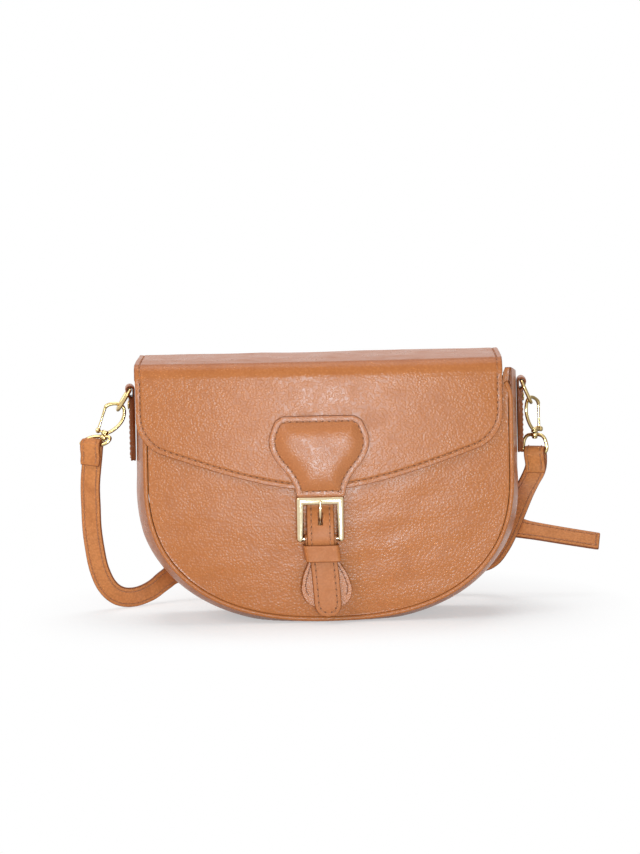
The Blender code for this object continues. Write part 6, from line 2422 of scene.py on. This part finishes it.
@dataclass
class Straps:
    """The long strap, the short strap and the buckle and keepers that join them."""

    wardrobe: Wardrobe
    hardware: Hardware
    width: float = 0.0122
    thickness: float = 0.0024
    fold_length: float = 0.0130
    stitch_inset: float = 0.0019
    swivel_radius: float = 0.00115
    place: tuple[float, float, float] = (0.015, 0.0846, 0.020)
    length: float = 0.024
    frame_width: float = 0.021
    bar: float = 0.003
    frame_thickness: float = 0.0024
    heel_radius: float = 0.0012
    heel_inset: float = 0.0013
    prong_radius: float = 0.0010
    keeper_width: float = 0.008
    keeper_thickness: float = 0.0012
    keeper_first: float = 0.0115
    keeper_spacing: float = 0.0135
    straight: float = 0.064
    sizes: tuple[float, float, float] = (0.115, 0.070, 0.165)
    long_route: tuple[tuple[float, ...], ...] = (
        (-1.298, 0.1, 0.5246, 0.87, -0.45, -0.12),
        (-1.2969, 0.23, 0.4236, 0.88, -0.47, 0.0),
        (-1.2934, 0.31, 0.3403, 0.88, -0.47, 0.0),
        (-1.2807, 0.43, 0.2585, 0.88, -0.46, 0.08),
        (-1.2583, 0.54, 0.1711, 0.85, -0.45, 0.25),
        (-1.2156, 0.66, 0.0961, 0.72, -0.42, 0.55),
        (-1.15, 0.76, 0.0509, 0.45, -0.3, 0.84),
        (-1.0638, 0.87, 0.0385, 0.22, -0.15, 0.96),
        (-0.9706, 1.03, 0.0528, 0.05, 0.0, 1.0),
        (-0.8966, 1.14, 0.0845, -0.1, 0.0, 1.0),
        (-0.823, 1.22, 0.1102, -0.05, 0.0, 1.0),
        (-0.7171, 1.29, 0.0989, 0.05, 0.0, 1.0),
        (-0.5896, 1.37, 0.0613, 0.05, 0.0, 1.0),
        (-0.44, 1.44, 0.039, 0.0, 0.0, 1.0),
        (-0.2, 1.51, 0.039, 0.0, 0.0, 1.0),
        (0.08, 1.58, 0.039, 0.0, 0.0, 1.0),
        (0.32, 1.75, 0.039, 0.0, 0.0, 1.0),
        (0.46, 2.07, 0.039, 0.0, 0.0, 1.0),
        (0.42, 2.42, 0.039, 0.0, 0.0, 1.0),
        (0.18, 2.66, 0.039, 0.0, 0.0, 1.0),
        (-0.12, 2.7, 0.039, 0.0, 0.0, 1.0),
        (-0.38, 2.54, 0.039, 0.0, 0.0, 1.0),
        (-0.52, 2.22, 0.041, 0.0, 0.0, 1.0),
        (-0.535, 1.86, 0.073, 0.0, 0.0, 1.0),
        (-0.46, 1.56, 0.115, 0.0, 0.0, 1.0),
        (-0.29, 1.33, 0.128, 0.0, 0.0, 1.0),
        (-0.11, 1.22, 0.123, 0.0, 0.0, 1.0),
    )
    short_route: tuple[tuple[float, ...], ...] = (
        (1.1404, 0.15, 0.528, 0.97, -0.2, -0.05),
        (1.1152, 0.27, 0.4838, 0.98, 0.05, -0.12),
        (1.0967, 0.41, 0.4499, 0.96, 0.05, -0.25),
        (1.0792, 0.57, 0.4111, 0.93, 0.05, -0.35),
        (1.0434, 0.74, 0.3371, 0.92, 0.0, -0.38),
        (1.0035, 0.87, 0.2611, 0.91, 0.0, -0.42),
        (0.9619, 0.99, 0.1972, 0.8, 0.0, -0.6),
        (0.9078, 1.09, 0.1461, 0.5, 0.0, -0.86),
        (0.826, 1.17, 0.127, 0.15, 0.0, -0.98),
    )
    tail_route: tuple[tuple[float, ...], ...] = (
        (0.86, 1.26, 0.15, 0.42, 0.0, -0.9),
        (0.9409, 1.22, 0.2243, 0.52, 0.0, -0.85),
        (1.0312, 1.14, 0.2602, 0.25, -0.35, -0.90),
        (1.1291, 1.08, 0.252, -0.05, -0.65, -0.76),
        (1.3109, 1.06, 0.2288, -0.12, -0.70, -0.70),
        (1.5126, 1.06, 0.2031, 0.12, 0.72, 0.68),
    )

    @property
    def heel(self) -> float:
        """Place of the heel bar along the buckle."""
        return -(self.length - self.heel_inset)

    def fold(self, bar: Array, up: Array, across: Array) -> list[Array]:
        """Rows of a strap's end folded over a swivel's bar, from the short end in front to behind."""
        front = np.cross(across, up)
        front = front if front[1] < 0 else -front
        radius = self.swivel_radius + GAP + self.thickness / 2
        pinch = self.thickness + GAP - radius
        table = [
            (-self.fold_length, pinch), (-self.fold_length * 0.55, pinch + GAP),
            (-radius * 1.2, radius * 0.8)
        ]
        table += [(radius * math.sin(a), radius * math.cos(a)) for a in HALF_TURN]
        table += [(-self.fold_length * 0.5, -radius)]
        return [np.concatenate([bar + up * rise + front * out, across]) for rise, out in table]

    def placed(self, shares: Sequence[Sequence[float]]) -> list[Array]:
        """Rows of a route in real sizes, from its shares of the body's sizes."""
        return [np.array(row) * (*self.sizes, 1.0, 1.0, 1.0) for row in shares]

    def in_buckle(self, table: Sequence[tuple[float, float]]) -> list[Array]:
        """Rows of a strap in the buckle, from (height, standoff) pairs of its own frame."""
        x, y, z = self.place
        return [np.array((x - v, y + w, z, 0.0, 0.0, -1.0)) for v, w in table]

    def strap(self, name: str, rows: Sequence[Array], cutter: Piece) -> list[Piece]:
        """A strap through rows of place and width direction, with a slot and stitching on both faces.

        Args:
            name: The piece's name.
            rows: The route.
            cutter: The slot.

        Returns:
            The strap and its thread.
        """
        table = np.array(rows)
        table[:, 3:] = unit(table[:, 3:])
        line = curve(table, 0.0007, 0.0016)
        widths = np.full(len(line), self.width)
        belt = strap_plate(
            f"{name}_leather", line[:, :3], line[:, 3:], widths, self.thickness, self.wardrobe.strap,
            self.stitch_inset, 0.0003, 17
        )
        cut_through(belt, cutter)
        threads = []
        for face in (1, -1):
            seam, out = edge_line(
                line[:, :3], line[:, 3:], widths, self.stitch_inset, face * (self.thickness / 2 - 0.00010)
            )
            holes = self.wardrobe.hole_shade
            threads.append(sewn("thread", seam, out * face, self.wardrobe.thread, holes, 0.0038, 0.00036))
        return [belt, join(f"{name}_stitching", threads)]

    def buckle(self, piece: Piece) -> Piece:
        """A piece of the buckle's own frame, turned: its length runs along -X and it faces +Y."""
        x, y, z = self.place
        return moved(piece, np.array((x, y, z)) - places_of(piece)[:, ::-1])

    def box(self, name: str, half: float, low: tuple[float, float], high: tuple[float, float]) -> Piece:
        """A cutter across the strap between two (height, standoff) corners of the buckle's own frame."""
        x, y, z = self.place
        return block(name, (x - high[0], y + low[1], z - half), (x - low[0], y + high[1], z + half))

    def build(self) -> None:
        """Make and dress both straps, the buckle, its prong and the keepers."""
        half, heel, heel_w = self.thickness / 2, self.heel, self.frame_thickness / 2
        gold = self.wardrobe.hook_gold
        fold = self.heel_radius + GAP + half
        main_w = half + GAP / 2
        end = heel - self.straight / 2
        rows = self.fold(*self.hardware.ends["right"]) + self.placed(self.short_route)
        table = [(end, main_w), (end * 0.85, main_w), (heel * 1.25, main_w * 1.3)]
        table += [(heel + fold * math.sin(a), heel_w + fold * math.cos(a)) for a in HALF_TURN]
        table += [(heel * 1.25, -main_w * 1.1), (heel * 1.55, -main_w)]
        eye = self.heel_radius + self.prong_radius + 3 * GAP
        slot = self.box(
            "slot", self.prong_radius * 1.2 + GAP, (heel - eye, heel_w - fold * 2),
            (heel + fold * 2, heel_w + fold * 2)
        )
        belt, thread = self.strap("short_strap", rows + self.in_buckle(table), slot)
        dress(belt, "bag", "strap_leather", "short_strap")
        dress(thread, "bag", "strap_leather")

        high = heel_w + fold + half + GAP + half
        low = main_w + half + GAP + half
        under = -GAP - half
        table = [(heel * -0.35, under), (0.0, under), (heel * 0.16, under), (heel * 0.36, high * 0.22)]
        table += [(heel * 0.60, high * 0.68), (heel * 0.80, high * 0.95), (heel, high)]
        table += [
            (heel * 1.25, main_w * 1.3 + self.thickness + GAP * 2), (heel * 1.6, low), (end * 0.85, low),
            (end, low)
        ]
        rows = self.fold(*self.hardware.ends["left"]) + self.placed(self.long_route)
        down = self.in_buckle(table) + self.placed(self.tail_route[:-1])
        rows += [np.concatenate([row[:3], -row[3:]]) for row in down] + self.placed(self.tail_route[-1:])
        middle = heel * 0.55
        hole = self.box("hole", 0.0015, (middle - 0.005, -0.004), (middle + 0.005, high + 0.004))
        belt, thread = self.strap("long_strap", rows, hole)
        dress(belt, "bag", "strap_leather", "long_strap")
        dress(thread, "bag", "strap_leather")

        wide = self.frame_width / 2
        inner = wide - self.bar
        outer_path = square_path(wide, 0.0, heel, CORNER_CUT)
        inner_path = square_path(inner, -self.bar, heel, 0.0)
        bars = frame_bars("bars", outer_path, inner_path, self.frame_thickness, 0.0007, gold)
        reach = wide - self.bar / 2
        pole = tube(
            "pole", np.linspace((-reach, -heel_w, heel), (reach, -heel_w, heel), 24), self.heel_radius,
            gold, (0.0, 0.0, 1.0)
        )
        metal = self.buckle(join("strap_buckle_metal", [bars, pole]))
        dress(metal, "bag", "hook_gold", "strap_buckle_frame")

        rest = self.frame_thickness + GAP + self.prong_radius
        root = heel + self.heel_radius + GAP + self.prong_radius / 2
        pin = [
            (root, heel_w), (heel * 0.76, heel_w * 1.25), (heel * 0.56, heel_w * 2.6),
            (heel * 0.38, rest * 1.04), (heel * 0.20, rest), (-self.bar * 0.4, rest)
        ]
        line = curve([(0.0, -w, v) for v, w in pin], 0.0002, 0.0005)
        bore = self.heel_radius + GAP
        a = np.linspace(0, 2 * math.pi, 33)[:-1]
        reach = bore + self.prong_radius * 0.55
        ring = points_of(0 * a, -heel_w + reach * np.cos(a), heel + reach * np.sin(a))
        across = (1.0, 0.0, 0.0)
        eye = tube("eye", ring, self.prong_radius * 0.5, gold, across, True, 12)
        prong = [tube("pin", line, self.prong_radius * 0.95, gold, across), eye]
        metal = self.buckle(join("strap_prong_metal", prong))
        dress(metal, "strap_prong", "hook_gold", "strap_buckle_prong")

        face = low + half + GAP * 4 + self.keeper_thickness / 2
        keepers = (("fixed", "bag", -main_w - half), ("sliding", "strap_keeper", main_w - half))
        for index, (name, body, back) in enumerate(keepers):
            level = heel - self.keeper_first - index * self.keeper_spacing
            rear = back - GAP * 1.8 - self.keeper_thickness / 2
            loop = rounded_loop(
                self.width / 2 + GAP + self.keeper_thickness / 2, rear, face,
                self.keeper_thickness * 1.1, 0.0005
            )
            line = points_of(loop[:, 0], -loop[:, 1], level)
            band = loop_band(
                f"keeper_{name}_leather", line, (0.0, 0.0, 1.0), self.keeper_width,
                self.keeper_thickness, self.wardrobe.strap
            )
            dress(self.buckle(band), body, "strap_leather", f"strap_keeper_{name}")


def main() -> None:
    """Build the room and every sub-assembly in order, then give the magnet parts the steel finish."""
    logging.basicConfig(level=logging.INFO, format="%(name)s: %(message)s")
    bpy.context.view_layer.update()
    Studio().build()
    wardrobe = Wardrobe()
    hardware = Hardware(wardrobe)
    for part in (Body(wardrobe), Flap(wardrobe), Closure(wardrobe), hardware, Straps(wardrobe, hardware)):
        part.build()
        LOG.info("%s done", type(part).__name__)
    for name in ("magnet_stud", "magnet_socket", "magnet_washer"):
        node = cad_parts[name]
        node.data.materials.clear()
        node.data.materials.append(wardrobe.steel)


if __name__ == "__main__":
    main()
